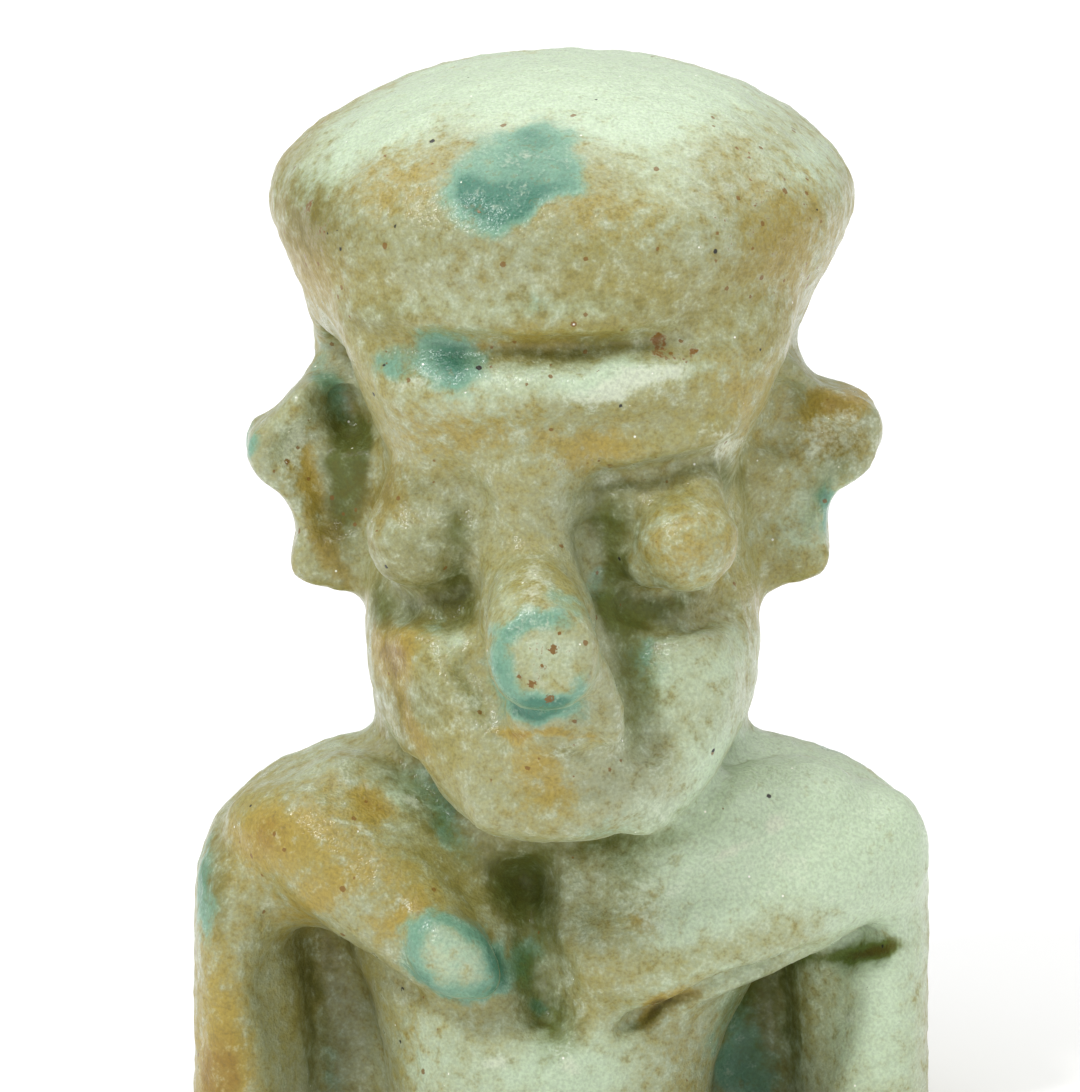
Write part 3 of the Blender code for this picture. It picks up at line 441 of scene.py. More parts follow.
# Ramps: (from, to, and where they aren't 0 and 1, the values at each)
BODY_RAMP = (-0.1, 1.1)
BARE_RAMP = (0.1, 0.9, 1, 0.3)  # grain that clean glaze, or soil and painted shade, leave to be seen
CHALK_AND_HIGHLIGHT_RAMP = (0.3, 1.4, 0, 0.72)
PALE_RAMP = (0.55, 0.8, 0, 0.33)
DULL_RAMP = (0.44, 0.24, 0, 0.42)
TONE_RAMP = (0.25, 0.75, 0.845, 1.06)
RUST_RAMP = (1.0, 1.5)
SPECK_RAMP = (0.05, 0.13, 1, 0)
GLINT_DOT_RAMP = (0.07, 0.13, 1, 0)
GLINT_RAMP = (-0.1, 1.2, 0.97, 0.6)  # chance above which a grain gets a painted glint, on sound glaze and where wear and painted highlights lie
SPOT_RAMP = (0.7, 1.1, 1, 0)
GLOSS_RANGE = (0.3, 0.7)  # mottle from dullest to glossiest
GLOSS_SPREAD = 0.12
SOIL_AND_SHADE_DULLING = (0.2, 1.0, 0, 0.3)
# Specks, rust and painted glints
STAIN_HIDES = 0.6  # wear and painted highlight that a stain hides
STAIN_SPECKLE = 0.3  # speckle that a stain brings
RUST_STRENGTH = 0.95
BROWN_STRENGTH, BROWN_CHANCE = 0.8, 0.35
DARK_CHANCE = 0.08
GLINT_DOT_CHANCE = 0.9
SIZE_SPREAD = 0.2
# Fine relief, in millimetres
GRAIN_HEIGHT = 0.01
MOTTLE_HEIGHT = 0.03
RELIEF_STRENGTH = 0.9
# What is the same all over the glaze
GLASS = {"IOR": 1.43, "Subsurface Weight": 0.2, "Subsurface Radius": (0.8, 1.0, 0.6),
         "Subsurface Scale": 0.08 * MM, "Coat Weight": 0.22, "Coat Roughness": 0.12}

# Stage: where each light shines from, and how many degrees across it is
KEY_FROM, KEY_SPREAD = (-0.45, -0.5, 0.74), 10
TOP_FROM, TOP_SPREAD = (0.1, 0.1, 0.99), 80
FLOOR_ROUGHNESS = 0.7
AIM = (-0.2625, 7.125)  # where the camera aims on the front drawing
BENCH_BACK = 0.24  # how far the figure's middle lies in front of the bench's zero line
NEAR, FAR = 0.01, 10  # what the camera sees, in metres


def deselect():
    bpy.ops.object.select_all(action="DESELECT")


def pick(pieces):
    """Select these pieces alone, and make the first one active."""
    deselect()
    for piece in pieces:
        piece.select_set(True)
    bpy.context.view_layer.objects.active = pieces[0]


def twin(obj):
    """A copy with its own mesh."""
    copy = obj.copy()
    copy.data = obj.data.copy()
    bpy.context.collection.objects.link(copy)
    return copy


def through(rows, per):
    """Points on a smooth curve through the rows, PER of them to each span."""
    rows = [np.array(row, float) for row in rows]
    last = len(rows) - 1
    points = []
    for i in range(last):
        before, here, there, after = rows[max(i - 1, 0)], rows[i], rows[i + 1], rows[min(i + 2, last)]
        for k in range(per):
            t = k / per
            points.append(0.5 * (2 * here + (there - before) * t
                                 + (2 * before - 5 * here + 4 * there - after) * t ** 2
                                 + (3 * here - before - 3 * there + after) * t ** 3))
    points.append(rows[last])
    return points


def close_up(body):
    """Turn all faces of the shape being edited outwards, and leave edit mode."""
    bpy.ops.mesh.select_all(action="SELECT")
    bpy.ops.mesh.normals_make_consistent(inside=False)
    bpy.ops.object.mode_set(mode="OBJECT")
    return body


def loft(rows, squareness, sides=64, per=3):
    """A rounded square, drawn out ring by ring through the rows."""
    sections = through(rows, per)
    deselect()
    bpy.ops.mesh.primitive_circle_add(vertices=sides, radius=1, fill_type="NGON")
    body = bpy.context.object
    for vertex in body.data.vertices:
        for i in (0, 1):
            vertex.co[i] = math.copysign(abs(vertex.co[i]) ** (2 / squareness), vertex.co[i])
    bpy.ops.object.mode_set(mode="EDIT")
    places = [Vector((centre, (front + back) / 2, height)) for height, centre, _, front, back in sections]
    sizes = [(half, (back - front) / 2) for _, _, half, front, back in sections]
    bpy.ops.transform.resize(value=(*sizes[0], 1), center_override=(0, 0, 0))
    bpy.ops.transform.translate(value=places[0])
    for here, there, old, new in zip(places, places[1:], sizes, sizes[1:]):
        bpy.ops.mesh.extrude_region_move(TRANSFORM_OT_translate={"value": there - here})
        bpy.ops.transform.resize(value=(new[0] / old[0], new[1] / old[1], 1), center_override=there)
    return close_up(body)


def plate(outline, thickness, depth):
    """A flat outline, seen from the front, drawn back to a thickness."""
    deselect()
    bpy.ops.mesh.primitive_circle_add(vertices=len(outline), radius=1, fill_type="NGON")
    body = bpy.context.object
    for vertex, (across, up) in zip(body.data.vertices, outline):
        vertex.co = (across, depth - thickness / 2, up)
    bpy.ops.object.mode_set(mode="EDIT")
    bpy.ops.mesh.extrude_region_move(TRANSFORM_OT_translate={"value": (0, thickness, 0)})
    return close_up(body)


def first_ball():
    """The ball that the others are copied from."""
    deselect()
    bpy.ops.mesh.primitive_uv_sphere_add(segments=24, ring_count=14, radius=1)
    return bpy.context.object


def another(ball, place, half_sizes, turn=0):
    """A copy of the ball, made egg-shaped and turned about the front-to-back axis."""
    copy = twin(ball)
    copy.location, copy.scale = place, half_sizes
    copy.rotation_euler.y = math.radians(turn)
    return copy


def shapes(ball, balls, rolls, per=8):
    """Single balls, and rolls of overlapping balls along smooth lines through their stops."""
    pieces = [another(ball, *row) for row in balls]
    for stops in rolls:
        rows = through([(*place, *half_sizes) for place, half_sizes in stops], per)
        pieces += [another(ball, row[:3], row[3:]) for row in rows]
    return pieces


def masses(ball):
    """Head, neck, trunk, shoulders and arms."""
    return [loft(rows, squareness) for squareness, rows in MASSES] + shapes(ball, [HEAD_CORE], ARMS, per=6)


def soft_forms(ball):
    """Features that melt well into the masses, and the ears."""
    pieces = shapes(ball, SOFT_BALLS, SOFT_ROLLS)
    return pieces + [plate(outline, EAR_THICKNESS, EAR_DEPTH) for outline in EARS]


def crisp_forms(ball):
    """Features that stand off more sharply, and the hanging loop."""
    pieces = shapes(ball, CRISP_BALLS, CRISP_ROLLS)
    deselect()
    bpy.ops.mesh.primitive_torus_add(location=LOOP_CENTRE, rotation=(0, math.radians(90), 0),
                                     major_radius=LOOP_RADIUS, minor_radius=LOOP_THICKNESS,
                                     major_segments=40, minor_segments=18)
    return [*pieces, bpy.context.object]


def join(pieces):
    """One mesh of all the pieces, with their places and sizes in it."""
    pick(pieces)
    bpy.ops.object.join()
    bpy.ops.object.transform_apply(location=True, rotation=True, scale=True)
    return bpy.context.object


def work(obj, kind, **settings):
    """Add a modifier with its settings, and apply it."""
    modifier = obj.modifiers.new(kind.lower(), kind)
    for name, value in settings.items():
        setattr(modifier, name, value)
    bpy.context.view_layer.objects.active = obj
    bpy.ops.object.modifier_apply(modifier=modifier.name)


def soften(obj, reach, grain):
    """Smooth the skin over about REACH."""
    work(obj, "SMOOTH", iterations=round((reach / grain) ** 2))


def press(pieces, reach, grain):
    """Press the pieces into one skin, and soften it over REACH."""
    clay = join(pieces)
    work(clay, "REMESH", mode="VOXEL", voxel_size=grain, use_smooth_shade=True)
    soften(clay, reach, grain)
    return clay


def vertices(obj):
    """Places and normals of the vertices as arrays."""
    found = []
    for name in ("co", "normal"):
        values = np.empty(len(obj.data.vertices) * 3, np.float32)
        obj.data.vertices.foreach_get(name, values)
        found.append(values.reshape(-1, 3).astype(float))
    return found


def place_vertices(obj, places):
    obj.data.vertices.foreach_set("co", places.astype(np.float32).ravel())
    obj.data.update()


def distance_to(places, line):
    """Distance of each place to a line of points, and its share of the way along."""
    nearest, share = np.full(len(places), np.inf), np.zeros(len(places))
    for i, (start, end) in enumerate(zip(line, line[1:])):
        span = end - start
        t = np.clip((places - start) @ span / (span @ span), 0, 1)
        gap = np.linalg.norm(places - start - t[:, None] * span, axis=1)
        closer = gap < nearest
        nearest[closer] = gap[closer]
        share[closer] = (i + t[closer]) / (len(line) - 1)
    return nearest, share


def on_skin(tree, across, up):
    """Where a point of the front drawing falls on the skin, or None."""
    hit = tree.ray_cast(at(across, up, 0) - CLEAR * SIGHT, SIGHT)[0]
    return None if hit is None else np.array(hit)


def press_folds(clay):
    """Press each fold and pit into the skin where it falls on the front."""
    tree = BVHTree.FromObject(clay, bpy.context.evaluated_depsgraph_get())
    places, normals = vertices(clay)
    move = np.zeros(len(places))
    for points, half_width, depth in FOLDS:
        line = [on_skin(tree, *point) for point in through(points, per=6)]
        gap, share = distance_to(places, [point for point in line if point is not None])
        ends = np.clip(np.minimum(share, 1 - share) / FOLD_FADE, 0, 1) ** FADE_CURVE
        move += depth * np.exp(-(gap / half_width) ** 2) * ends
    for centre, radius, depth in PITS:
        gap = np.linalg.norm(places - on_skin(tree, *centre), axis=1)
        move += depth * np.exp(-(gap / radius) ** 2)
    place_vertices(clay, places - normals * move[:, None])


def flatten_nose(clay):
    """Wear the end of the nose to a flat disc that faces along the sight line."""
    places, _ = vertices(clay)
    sight = np.array(SIGHT)
    ahead = (places - np.array(NOSE_END)) @ sight
    radius = np.linalg.norm(places - np.array(NOSE_END) - ahead[:, None] * sight, axis=1)
    proud = (radius < NOSE_END_RADIUS) & (ahead < 0)
    places[proud] -= NOSE_END_WEAR * ahead[proud, None] * sight
    place_vertices(clay, places)


def sharpen(clay, reach, amount, grain):
    """Draw ridges up and creases in, by how far they stand off a softened copy."""
    places, normals = vertices(clay)
    place_vertices(clay, places - normals * (amount * relief(clay, reach, grain))[:, None])


def weather(clay, wear):
    """Waver, dent and roughen the skin."""
    for name, size, height in WEAR:
        texture = bpy.data.textures.new(name, "CLOUDS")
        texture.noise_scale = size
        work(clay, "DISPLACE", texture=texture, texture_coords="LOCAL", strength=height * wear)


def cut_flat(clay):
    """Cut the figure off at the foot, and close the cut."""
    pick([clay])
    bpy.ops.object.mode_set(mode="EDIT")
    bpy.ops.mesh.select_all(action="SELECT")
    bpy.ops.mesh.bisect(plane_co=(0, 0, 0), plane_no=(0, 0, 1), use_fill=True, clear_inner=True)
    bpy.ops.object.mode_set(mode="OBJECT")


def relief(clay, reach, grain):
    """How far each vertex lies under (+) or over (-) a softened copy of the skin."""
    copy = twin(clay)
    soften(copy, reach, grain)
    places, normals = vertices(clay)
    softened, _ = vertices(copy)
    bpy.data.objects.remove(copy)
    return np.einsum("ij,ij->i", softened - places, normals)


def shelter(clay, places, normals):
    """Share of the light from above each vertex that nearby parts of the figure keep off."""
    tree = BVHTree.FromObject(clay, bpy.context.evaluated_depsgraph_get())
    golden = math.pi * (3 - math.sqrt(5))
    rays = []
    for i in range(RAYS):
        t = (i + 0.5) / RAYS
        spread = math.sqrt(t)
        rays.append(Vector((math.cos(i * golden) * spread, math.sin(i * golden) * spread, math.sqrt(1 - t))))
    hidden = np.zeros(len(places))
    for k, (place, normal) in enumerate(zip(places, normals)):
        out = Vector(normal)
        start, turn = Vector(place) + out * OFF_SKIN, out.to_track_quat("Z", "Y")
        hidden[k] = sum(tree.ray_cast(start, turn @ ray, SHELTER_REACH)[0] is not None for ray in rays)
    return ramp(hidden / RAYS, *SHELTER_RANGE)


def ramp(values, low, high):
    """0 at LOW, 1 at HIGH and smooth between."""
    t = np.clip((values - low) / (high - low), 0, 1)
    return t * t * (3 - 2 * t)


def oval(across, up, centre, half_sizes, turn=0):
    """Distance of points of the front drawing from a centre, where 1 is the edge of a turned oval."""
    c, s = math.cos(math.radians(turn)), math.sin(math.radians(turn))
    x, y = across - centre[0], up - centre[1]
    return np.hypot((x * c + y * s) / half_sizes[0], (y * c - x * s) / half_sizes[1])


def drift(places, size, layers, lag):
    """Slowly changing values from about -1 to 1 over the skin, in features of about SIZE."""
    shift = Vector((lag, lag, lag))
    return np.array([noise.fractal(Vector(place) / size + shift, FALLOFF, STEP, layers) for place in places])


def paint(clay, grain):
    """Store on the skin where each tint of the glaze lies, with painted highlights and painted shade among
    them, and its hollows and worn edges.
    """
    places, normals = vertices(clay)
    waver = [drift(places, WAVER_SIZE, layers=3, lag=lag) for lag in WAVER_LAGS]
    across = places[:, 0] + PAINT_WAVER * waver[0]
    up = places[:, 2] * math.cos(LEAN) + places[:, 1] * math.sin(LEAN) + PAINT_WAVER * waver[1]
    facing = ramp(-normals @ np.array(SIGHT), *FRONT_RANGE)
    tints = {}
    for name, parts in PAINT.items():
        tints[name] = sum(strength * np.exp(-oval(across, up, (x, y), (wide, tall), *turn) ** 2)
                          for dabs in parts.values() for x, y, wide, tall, strength, *turn in dabs)
    for centre, half_sizes, turn, arcs in ARCS:
        edge = (oval(across, up, centre, half_sizes, turn) - 1) * min(half_sizes)
        angle = np.arctan2(up - centre[1], across - centre[0])
        for width, middle, strength in arcs:
            fade = np.clip(np.cos(angle - math.radians(middle)), 0, 1) ** ARC_CURVE
            tints["turquoise"] += strength * np.exp(-(edge / width) ** 2) * fade
    for name in tints:
        tints[name] *= facing
    for name, lag, size, low, high, strength in BEHIND:
        tints[name] += strength * (1 - facing) * ramp(drift(places, size, layers=2, lag=lag), low, high)
    # Painted shade: soil laid by how much of the light from above nearby parts keep off
    tints["soil_and_shade"] += SHELTER_SHADE * shelter(clay, places, normals)
    slow = drift(places, TONE_SIZE, layers=2, lag=TONE_LAG)
    tints["tone"] = TONE_MIDDLE + TONE_SWING * slow + TONE_WAVER * waver[0]
    tints["edge"] = EDGE_WEAR * ramp(-relief(clay, EDGE_REACH, grain), *EDGE_RANGE)
    for name, values in tints.items():
        layer = clay.data.attributes.new(name, "FLOAT", "POINT")
        layer.data.foreach_set("value", np.clip(values, 0, MOST_PAINT).astype(np.float32))


def fit(clay, settings):
    """Bring the figure from the bench to its size in metres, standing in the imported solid's place."""
    places, _ = vertices(clay)
    low, high = places.min(axis=0), places.max(axis=0)
    size = np.array((settings.width, settings.depth, settings.height))
    middle = np.array((LOW + HIGH) / 2)
    middle[2] = LOW.z + size[2] / 2
    place_vertices(clay, (places - (low + high) / 2) / (high - low) * size + middle)


class Recipe:
    """Adds nodes to a material one by one, each joined to what it is made from."""

    def __init__(self, tree):
        self.tree = tree
        place = self.add("ShaderNodeTexCoord").outputs["Object"]
        self.place = self.add("ShaderNodeMapping", {"Vector": place, "Scale": (1 / MM,) * 3}).outputs[0]

    def add(self, kind, inputs=None, **settings):
        """A node with its settings, and with each input given a value or joined to an output."""
        node = self.tree.nodes.new(kind)
        for name, value in settings.items():
            setattr(node, name, value)
        for key, value in (inputs or {}).items():
            if isinstance(value, bpy.types.NodeSocket):
                self.tree.links.new(value, node.inputs[key])
            else:
                node.inputs[key].default_value = value
        return node

    def layer(self, name):
        """A value stored on the skin."""
        return self.add("ShaderNodeAttribute", attribute_name=name).outputs["Fac"]

    def noise(self, per_mm, detail, roughness):
        inputs = {"Vector": self.place, "Scale": per_mm, "Detail": detail, "Roughness": roughness}
        return self.add("ShaderNodeTexNoise", inputs).outputs[0]

    def calc(self, operation, a, b, clamp=False):
        return self.add("ShaderNodeMath", {0: a, 1: b}, operation=operation, use_clamp=clamp).outputs[0]

    def times(self, a, b, clamp=False):
        return self.calc("MULTIPLY", a, b, clamp)

    def ramp(self, value, low, high, start=0.0, end=1.0):
        """START below LOW, END above HIGH and smooth between."""
        inputs = {"Value": value, "From Min": low, "From Max": high, "To Min": start, "To Max": end}
        return self.add("ShaderNodeMapRange", inputs, interpolation_type="SMOOTHSTEP").outputs[0]

    def swing(self, value, noise, amount):
        """The value, moved up and down by a noise round its middle."""
        moved = self.calc("MULTIPLY_ADD", noise, amount)
        moved.node.inputs[2].default_value = -amount / 2
        return self.calc("ADD", value, moved)

    def cells(self, per_mm):
        """Distance to the nearest of scattered points, in cells, and two chance values for each point."""
        cells = self.add("ShaderNodeTexVoronoi", {"Vector": self.place, "Scale": per_mm})
        chances = self.add("ShaderNodeSeparateColor", {0: cells.outputs["Color"]})
        return cells.outputs["Distance"], chances.outputs[0], chances.outputs[1]

    def mix(self, factor, below, above, blend="MIX"):
        node = self.add("ShaderNodeMix", {0: factor, 6: below, 7: above}, data_type="RGBA", blend_type=blend)
        return node.outputs[2]


def body_colour(make, glaze, mottle):
    """Sandy and grey-green body, with clean mint glaze and painted highlights, stains, soil and painted
    shade, and pooled turquoise over it.
    """
    tints = {name: make.swing(make.layer(name), mottle, SWING[name])
             for name in ("tone", "mint_and_highlight", "ochre", "turquoise", "soil_and_shade")}
    colour = make.mix(make.ramp(tints["tone"], *BODY_RAMP), glaze.warm, glaze.cool)
    cover = {}
    for name, tint, low, high in COATS:
        cover[name] = make.ramp(tints[tint], low, high)
        # Soil and painted shade darken the colour under them
        blend = "MULTIPLY" if name == "soil_and_shade" else "MIX"
        colour = make.mix(cover[name], colour, getattr(glaze, name), blend)
    bare = make.ramp(make.calc("MAXIMUM", cover["mint_and_highlight"], cover["soil_and_shade"]), *BARE_RAMP)
    return colour, tints["ochre"], bare


def worn_skin(make, glaze, colour, stain, bare, mottle, grain):
    """Chalky wear and painted highlights, pale grains and dull, thin spots, in an uneven tone."""
    fine = make.swing(mottle, grain, SWING["fine"])
    worn = make.calc("MAXIMUM", make.layer("worn"), make.layer("edge"))
    worn = make.calc("SUBTRACT", worn, make.times(stain, STAIN_HIDES, clamp=True))
    worn = make.swing(worn, fine, SWING["worn"])
    colour = make.mix(make.ramp(worn, *CHALK_AND_HIGHLIGHT_RAMP), colour, glaze.chalk_and_highlight)
    colour = make.mix(make.times(make.ramp(fine, *PALE_RAMP), bare), colour, glaze.chalk_and_highlight)
    colour = make.mix(make.times(make.ramp(fine, *DULL_RAMP), bare), colour, glaze.shade)
    tone = make.ramp(grain, *TONE_RAMP)
    colour = make.add("ShaderNodeVectorMath", {0: colour, "Scale": tone}, operation="SCALE").outputs[0]
    return colour, worn, fine


def specks(make, glaze, colour, stain, worn, fine, grain):
    """Rust, brown and dark specks, and white dots painted as glints, that gather where the glaze is speckled,
    worn or given painted highlights.
    """
    near, chance, size = make.cells(SPECKS_PER_MM)
    speckle = make.calc("MAXIMUM", make.layer("speckle"), make.times(stain, STAIN_SPECKLE))
    rust = make.ramp(make.swing(speckle, fine, SWING["rust"]), *RUST_RAMP)
    colour = make.mix(make.times(rust, RUST_STRENGTH), colour, glaze.rust)
    ragged = make.swing(near, grain, SWING["speck"])
    dot = make.ramp(make.calc("SUBTRACT", ragged, make.times(size, SIZE_SPREAD)), *SPECK_RAMP)
    brown = make.times(dot, make.calc("LESS_THAN", chance, make.times(speckle, BROWN_CHANCE)))
    colour = make.mix(make.times(brown, BROWN_STRENGTH), colour, glaze.rust)
    seldom = make.calc("SUBTRACT", 1.0, make.times(speckle, DARK_CHANCE))
    dark = make.times(dot, make.calc("GREATER_THAN", chance, seldom))
    colour = make.mix(dark, colour, glaze.speck)
    # Painted glints: white dots on quartz grains, more of them where wear and painted highlights lie
    glint_dots = make.times(make.ramp(near, *GLINT_DOT_RAMP), make.calc("LESS_THAN", chance, GLINT_DOT_CHANCE))
    glint = make.calc("GREATER_THAN", size, make.ramp(worn, *GLINT_RAMP))
    return make.mix(make.times(glint_dots, glint), colour, glaze.quartz_glint)


def nose_spots(make, glaze, colour, grain):
    """Rusty spots on the worn end of the nose."""
    apart = make.add("ShaderNodeSeparateXYZ", {0: make.place})
    up = make.add("ShaderNodeVectorMath", {0: make.place, 1: (0, math.sin(LEAN), math.cos(LEAN))},
                  operation="DOT_PRODUCT").outputs["Value"]
    front = make.add("ShaderNodeCombineXYZ", {0: apart.outputs[0], 1: up}).outputs[0]
    ahead = make.calc("LESS_THAN", apart.outputs[1], NOSE_SPOT_DEPTH)
    for across, high, radius in NOSE_SPOTS:
        gap = make.add("ShaderNodeVectorMath", {0: front, 1: (across, high, 0)}, operation="DISTANCE")
        gap = make.swing(make.calc("DIVIDE", gap.outputs["Value"], radius), grain, SWING["spot"])
        spot = make.times(make.ramp(gap, *SPOT_RAMP), ahead)
        colour = make.mix(make.times(spot, NOSE_SPOT_STRENGTH), colour, glaze.rust)
    return colour


def glazed_faience(glaze):
    """Worn glaze: pale green over a sandy body, pooled turquoise, stains, soil and painted shade in the
    hollows, painted highlights and glints, and specks.
    """
    material = bpy.data.materials.new("glazed faience")
    material.use_nodes = True
    shader = material.node_tree.nodes["Principled BSDF"]
    make = Recipe(material.node_tree)
    mottle = make.noise(MOTTLE_PER_MM, detail=3, roughness=0.66)
    grain = make.noise(GRAIN_PER_MM, detail=1, roughness=0.6)
    colour, stain, bare = body_colour(make, glaze, mottle)
    colour, worn, fine = worn_skin(make, glaze, colour, stain, bare, mottle, grain)
    colour = specks(make, glaze, colour, stain, worn, fine, grain)
    colour = nose_spots(make, glaze, colour, grain)
    height = make.swing(make.times(grain, GRAIN_HEIGHT), mottle, MOTTLE_HEIGHT)
    bump = make.add("ShaderNodeBump", {"Height": height, "Distance": MM, "Strength": RELIEF_STRENGTH})
    dullest, glossiest = glaze.roughness + GLOSS_SPREAD, glaze.roughness - GLOSS_SPREAD
    roughness = make.ramp(mottle, *GLOSS_RANGE, dullest, glossiest)
    roughness = make.calc("ADD", roughness, make.ramp(make.layer("soil_and_shade"), *SOIL_AND_SHADE_DULLING))

    for name, output in (("Base Color", colour), ("Roughness", roughness), ("Normal", bump.outputs[0]),
                         ("Coat Normal", bump.outputs[0])):
        material.node_tree.links.new(output, shader.inputs[name])
    for name, value in GLASS.items():
        shader.inputs[name].default_value = value
    return material


def plain(name, colour, roughness):
    """A material of one colour."""
    material = bpy.data.materials.new(name)
    material.use_nodes = True
    shader = material.node_tree.nodes["Principled BSDF"]
    shader.inputs["Base Color"].default_value = colour
    shader.inputs["Roughness"].default_value = roughness
    return material


def colour(name, description, default):
    """A colour setting."""
    return FloatVectorProperty(name=name, description=description, default=(*default, 1), size=4,
                               min=0, max=1, subtype="COLOR")


def length(name, description, default):
    """A size setting, in metres."""
    return FloatProperty(name=name, description=description, default=default, unit="LENGTH")


def amount(name, description, default):
    """A setting that is a plain number."""
    return FloatProperty(name=name, description=description, default=default, min=0, soft_max=3)


class FigureSettings(bpy.types.PropertyGroup):
    """Sizes of the figure."""
    width: length("Width", "Across the shoulders", HIGH.x - LOW.x)
    depth: length("Depth", "From the nose to the loop", HIGH.y - LOW.y)
    height: length("Height", "From the foot to the cap", HIGH.z - LOW.z)
    grain: amount("Grain", "Cell of the modelled skin, in bench millimetres", 0.085)
    crispness: amount("Crispness", "How strongly ridges and creases are drawn", 0.8)
    wear: amount("Wear", "Strength of the weathering", 1.0)


class GlazeSettings(bpy.types.PropertyGroup):
    """Colours and gloss of the glaze."""
    cool: colour("Cool body", "Pale grey-green body glaze", (0.41, 0.44, 0.275))
    warm: colour("Warm body", "Sandy body glaze", (0.35, 0.31, 0.088))
    # Also paints highlights along the forehead ridge and lightens the ears where the cap keeps light off them
    mint_and_highlight: colour("Mint", "Clean, thick pale glaze", (0.56, 0.68, 0.485))
    verdigris: colour("Verdigris", "Thin blue-green glaze", (0.22, 0.41, 0.285))
    turquoise: colour("Turquoise", "Pooled blue-green glaze", (0.06, 0.215, 0.14))
    ochre: colour("Ochre", "Yellow-brown stain", (0.41, 0.31, 0.062))
    umber: colour("Umber", "Orange-brown heart of a stain", (0.31, 0.18, 0.02))
    rust: colour("Rust", "Brown specks", (0.20, 0.085, 0.004))
    # Soil and painted shade: darkens hollows, creases and the places under overhangs
    soil_and_shade: colour("Soil", "Dark olive deposit in the hollows", (0.30, 0.34, 0.10))
    shade: colour("Shade", "Olive thin spots in the glaze", (0.24, 0.21, 0.06))
    # Also paints highlights where ridges, shoulders, chest and belly catch the light
    chalk_and_highlight: colour("Chalk", "Worn, whitened glaze", (0.68, 0.72, 0.56))
    # White dots painted as glints of light on the quartz grains
    quartz_glint: colour("Glitter", "Bare quartz grains", (0.95, 0.95, 0.85))
    speck: colour("Speck", "Dark specks", (0.02, 0.018, 0.012))
    roughness: FloatProperty(name="Roughness", description="From glossy to dull", default=0.38, min=0, max=1,
                             subtype="FACTOR")


class StageSettings(bpy.types.PropertyGroup):
    """Floor, light and camera."""
    floor_reach: length("Floor", "Side of the floor", 2.4)
    floor_colour: colour("Floor colour", "Plain pale floor", (0.96, 0.96, 0.96))
    key: amount("Key", "Strength of the light from the upper left", 1.1)
    top: amount("Top", "Strength of the broad light from above", 1.75)
    fill: amount("Fill", "Strength of the light all round", 0.52)
    distance: length("Distance", "Camera to figure", 0.12)
    frame_height: length("Frame", "Height that the camera takes in", 0.01365)


def hang_light(name, source, strength, spread):
    """A distant light that shines from a direction, SPREAD degrees across."""
    bpy.ops.object.light_add(type="SUN", rotation=Vector(source).to_track_quat("Z", "Y").to_euler())
    light = bpy.context.object
    light.name = name
    light.data.energy = strength
    light.data.angle = math.radians(spread)


class AMULET_OT_figure(bpy.types.Operator):
    """Model the head and chest, glaze them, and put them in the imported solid's place."""
    bl_idname = "amulet.figure"
    bl_label = "Figure"

    def execute(self, context):
        settings = context.scene.amulet_figure
        grain = settings.grain
        ball = first_ball()
        clay = press(masses(ball), REACH_MASSES, grain)
        clay = press([clay, *soft_forms(ball)], REACH_SOFT, grain)
        clay = press([clay, *crisp_forms(ball)], REACH_CRISP, grain)
        bpy.data.objects.remove(ball)
        press_folds(clay)
        flatten_nose(clay)
        clay = press([clay], REACH_FOLDS, grain)
        sharpen(clay, REACH_SHARP, settings.crispness, grain)
        weather(clay, settings.wear)
        cut_flat(clay)
        paint(clay, grain)
        fit(clay, settings)
        clay.name = clay.data.name = "amulet_figure"
        clay.data.materials.clear()
        clay.data.materials.append(glazed_faience(context.scene.amulet_glaze))
        pick([clay])
        bpy.ops.object.shade_smooth_by_angle(angle=SMOOTH_BELOW)
        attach(clay, "root")
        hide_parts("amulet")
        return {"FINISHED"}


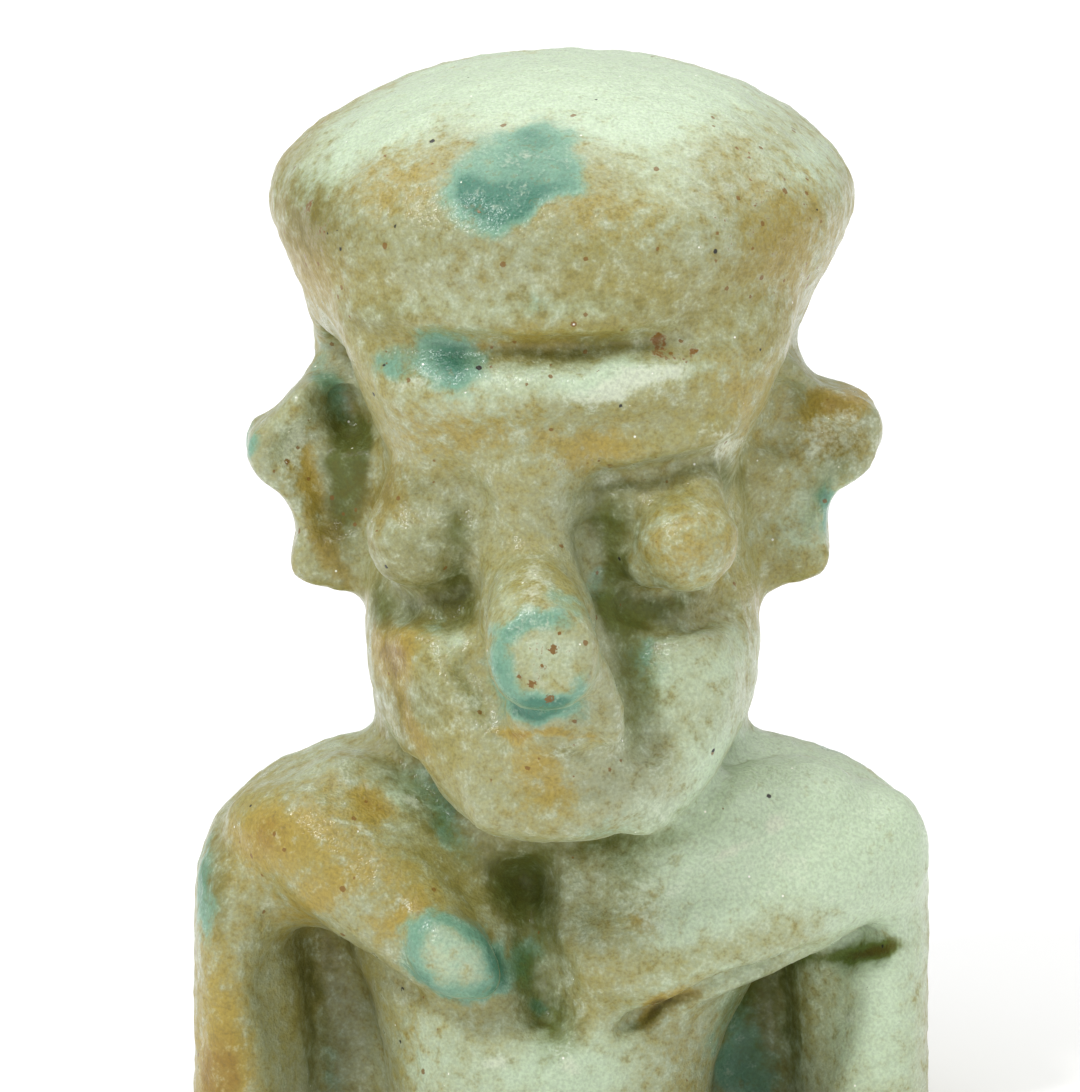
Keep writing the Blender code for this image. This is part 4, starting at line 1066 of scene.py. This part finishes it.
class AMULET_OT_stage(bpy.types.Operator):
    """Lay the floor, hang the lights, and set the camera."""
    bl_idname = "amulet.stage"
    bl_label = "Stage"

    def execute(self, context):
        settings = context.scene.amulet_stage
        deselect()
        bpy.ops.mesh.primitive_plane_add(size=settings.floor_reach, location=(0, 0, LOW.z))
        floor = bpy.context.object
        floor.name = "floor"
        floor.data.materials.append(plain("floor", settings.floor_colour, FLOOR_ROUGHNESS))

        hang_light("key light", KEY_FROM, settings.key, KEY_SPREAD)
        hang_light("top light", TOP_FROM, settings.top, TOP_SPREAD)

        world = bpy.data.worlds.new("white room")
        world.use_nodes = True
        background = world.node_tree.nodes["Background"]
        background.inputs["Color"].default_value = (1, 1, 1, 1)
        background.inputs["Strength"].default_value = settings.fill
        context.scene.world = world
        context.scene.view_settings.view_transform = "Standard"

        aim = Vector((AIM[0], BENCH_BACK, 0)) * MM + Vector((0, 0, LOW.z))
        aim.z += AIM[1] / math.cos(LEAN) * MM
        back = -SIGHT * settings.distance
        bpy.ops.object.camera_add(location=aim + back)
        camera = bpy.context.object
        camera.name = "camera"
        camera.rotation_euler = (math.radians(90) - LEAN, 0, 0)
        camera.data.lens = camera.data.sensor_width * settings.distance / settings.frame_height
        camera.data.clip_start, camera.data.clip_end = NEAR, FAR
        context.scene.camera = camera
        return {"FINISHED"}


class AMULET_PT_panel(bpy.types.Panel):
    """Settings and steps, in order."""
    bl_idname = "AMULET_PT_panel"
    bl_label = "Faience amulet"
    bl_space_type = "VIEW_3D"
    bl_region_type = "UI"
    bl_category = "Amulet"

    def draw(self, context):
        for group, operator in (("amulet_figure", "amulet.figure"), ("amulet_glaze", None),
                                ("amulet_stage", "amulet.stage")):
            settings = getattr(context.scene, group)
            box = self.layout.box()
            for name in settings.__annotations__:
                box.prop(settings, name)
            if operator:
                box.operator(operator)


CLASSES = (FigureSettings, GlazeSettings, StageSettings, AMULET_OT_figure, AMULET_OT_stage, AMULET_PT_panel)
GROUPS = {"amulet_figure": FigureSettings, "amulet_glaze": GlazeSettings, "amulet_stage": StageSettings}


def register():
    for cls in CLASSES:
        bpy.utils.register_class(cls)
    for name, group in GROUPS.items():
        setattr(bpy.types.Scene, name, PointerProperty(type=group))


def unregister():
    for name in GROUPS:
        delattr(bpy.types.Scene, name)
    for cls in reversed(CLASSES):
        bpy.utils.unregister_class(cls)


def main():
    register()
    bpy.ops.amulet.figure()
    bpy.ops.amulet.stage()


if __name__ == "__main__":
    main()
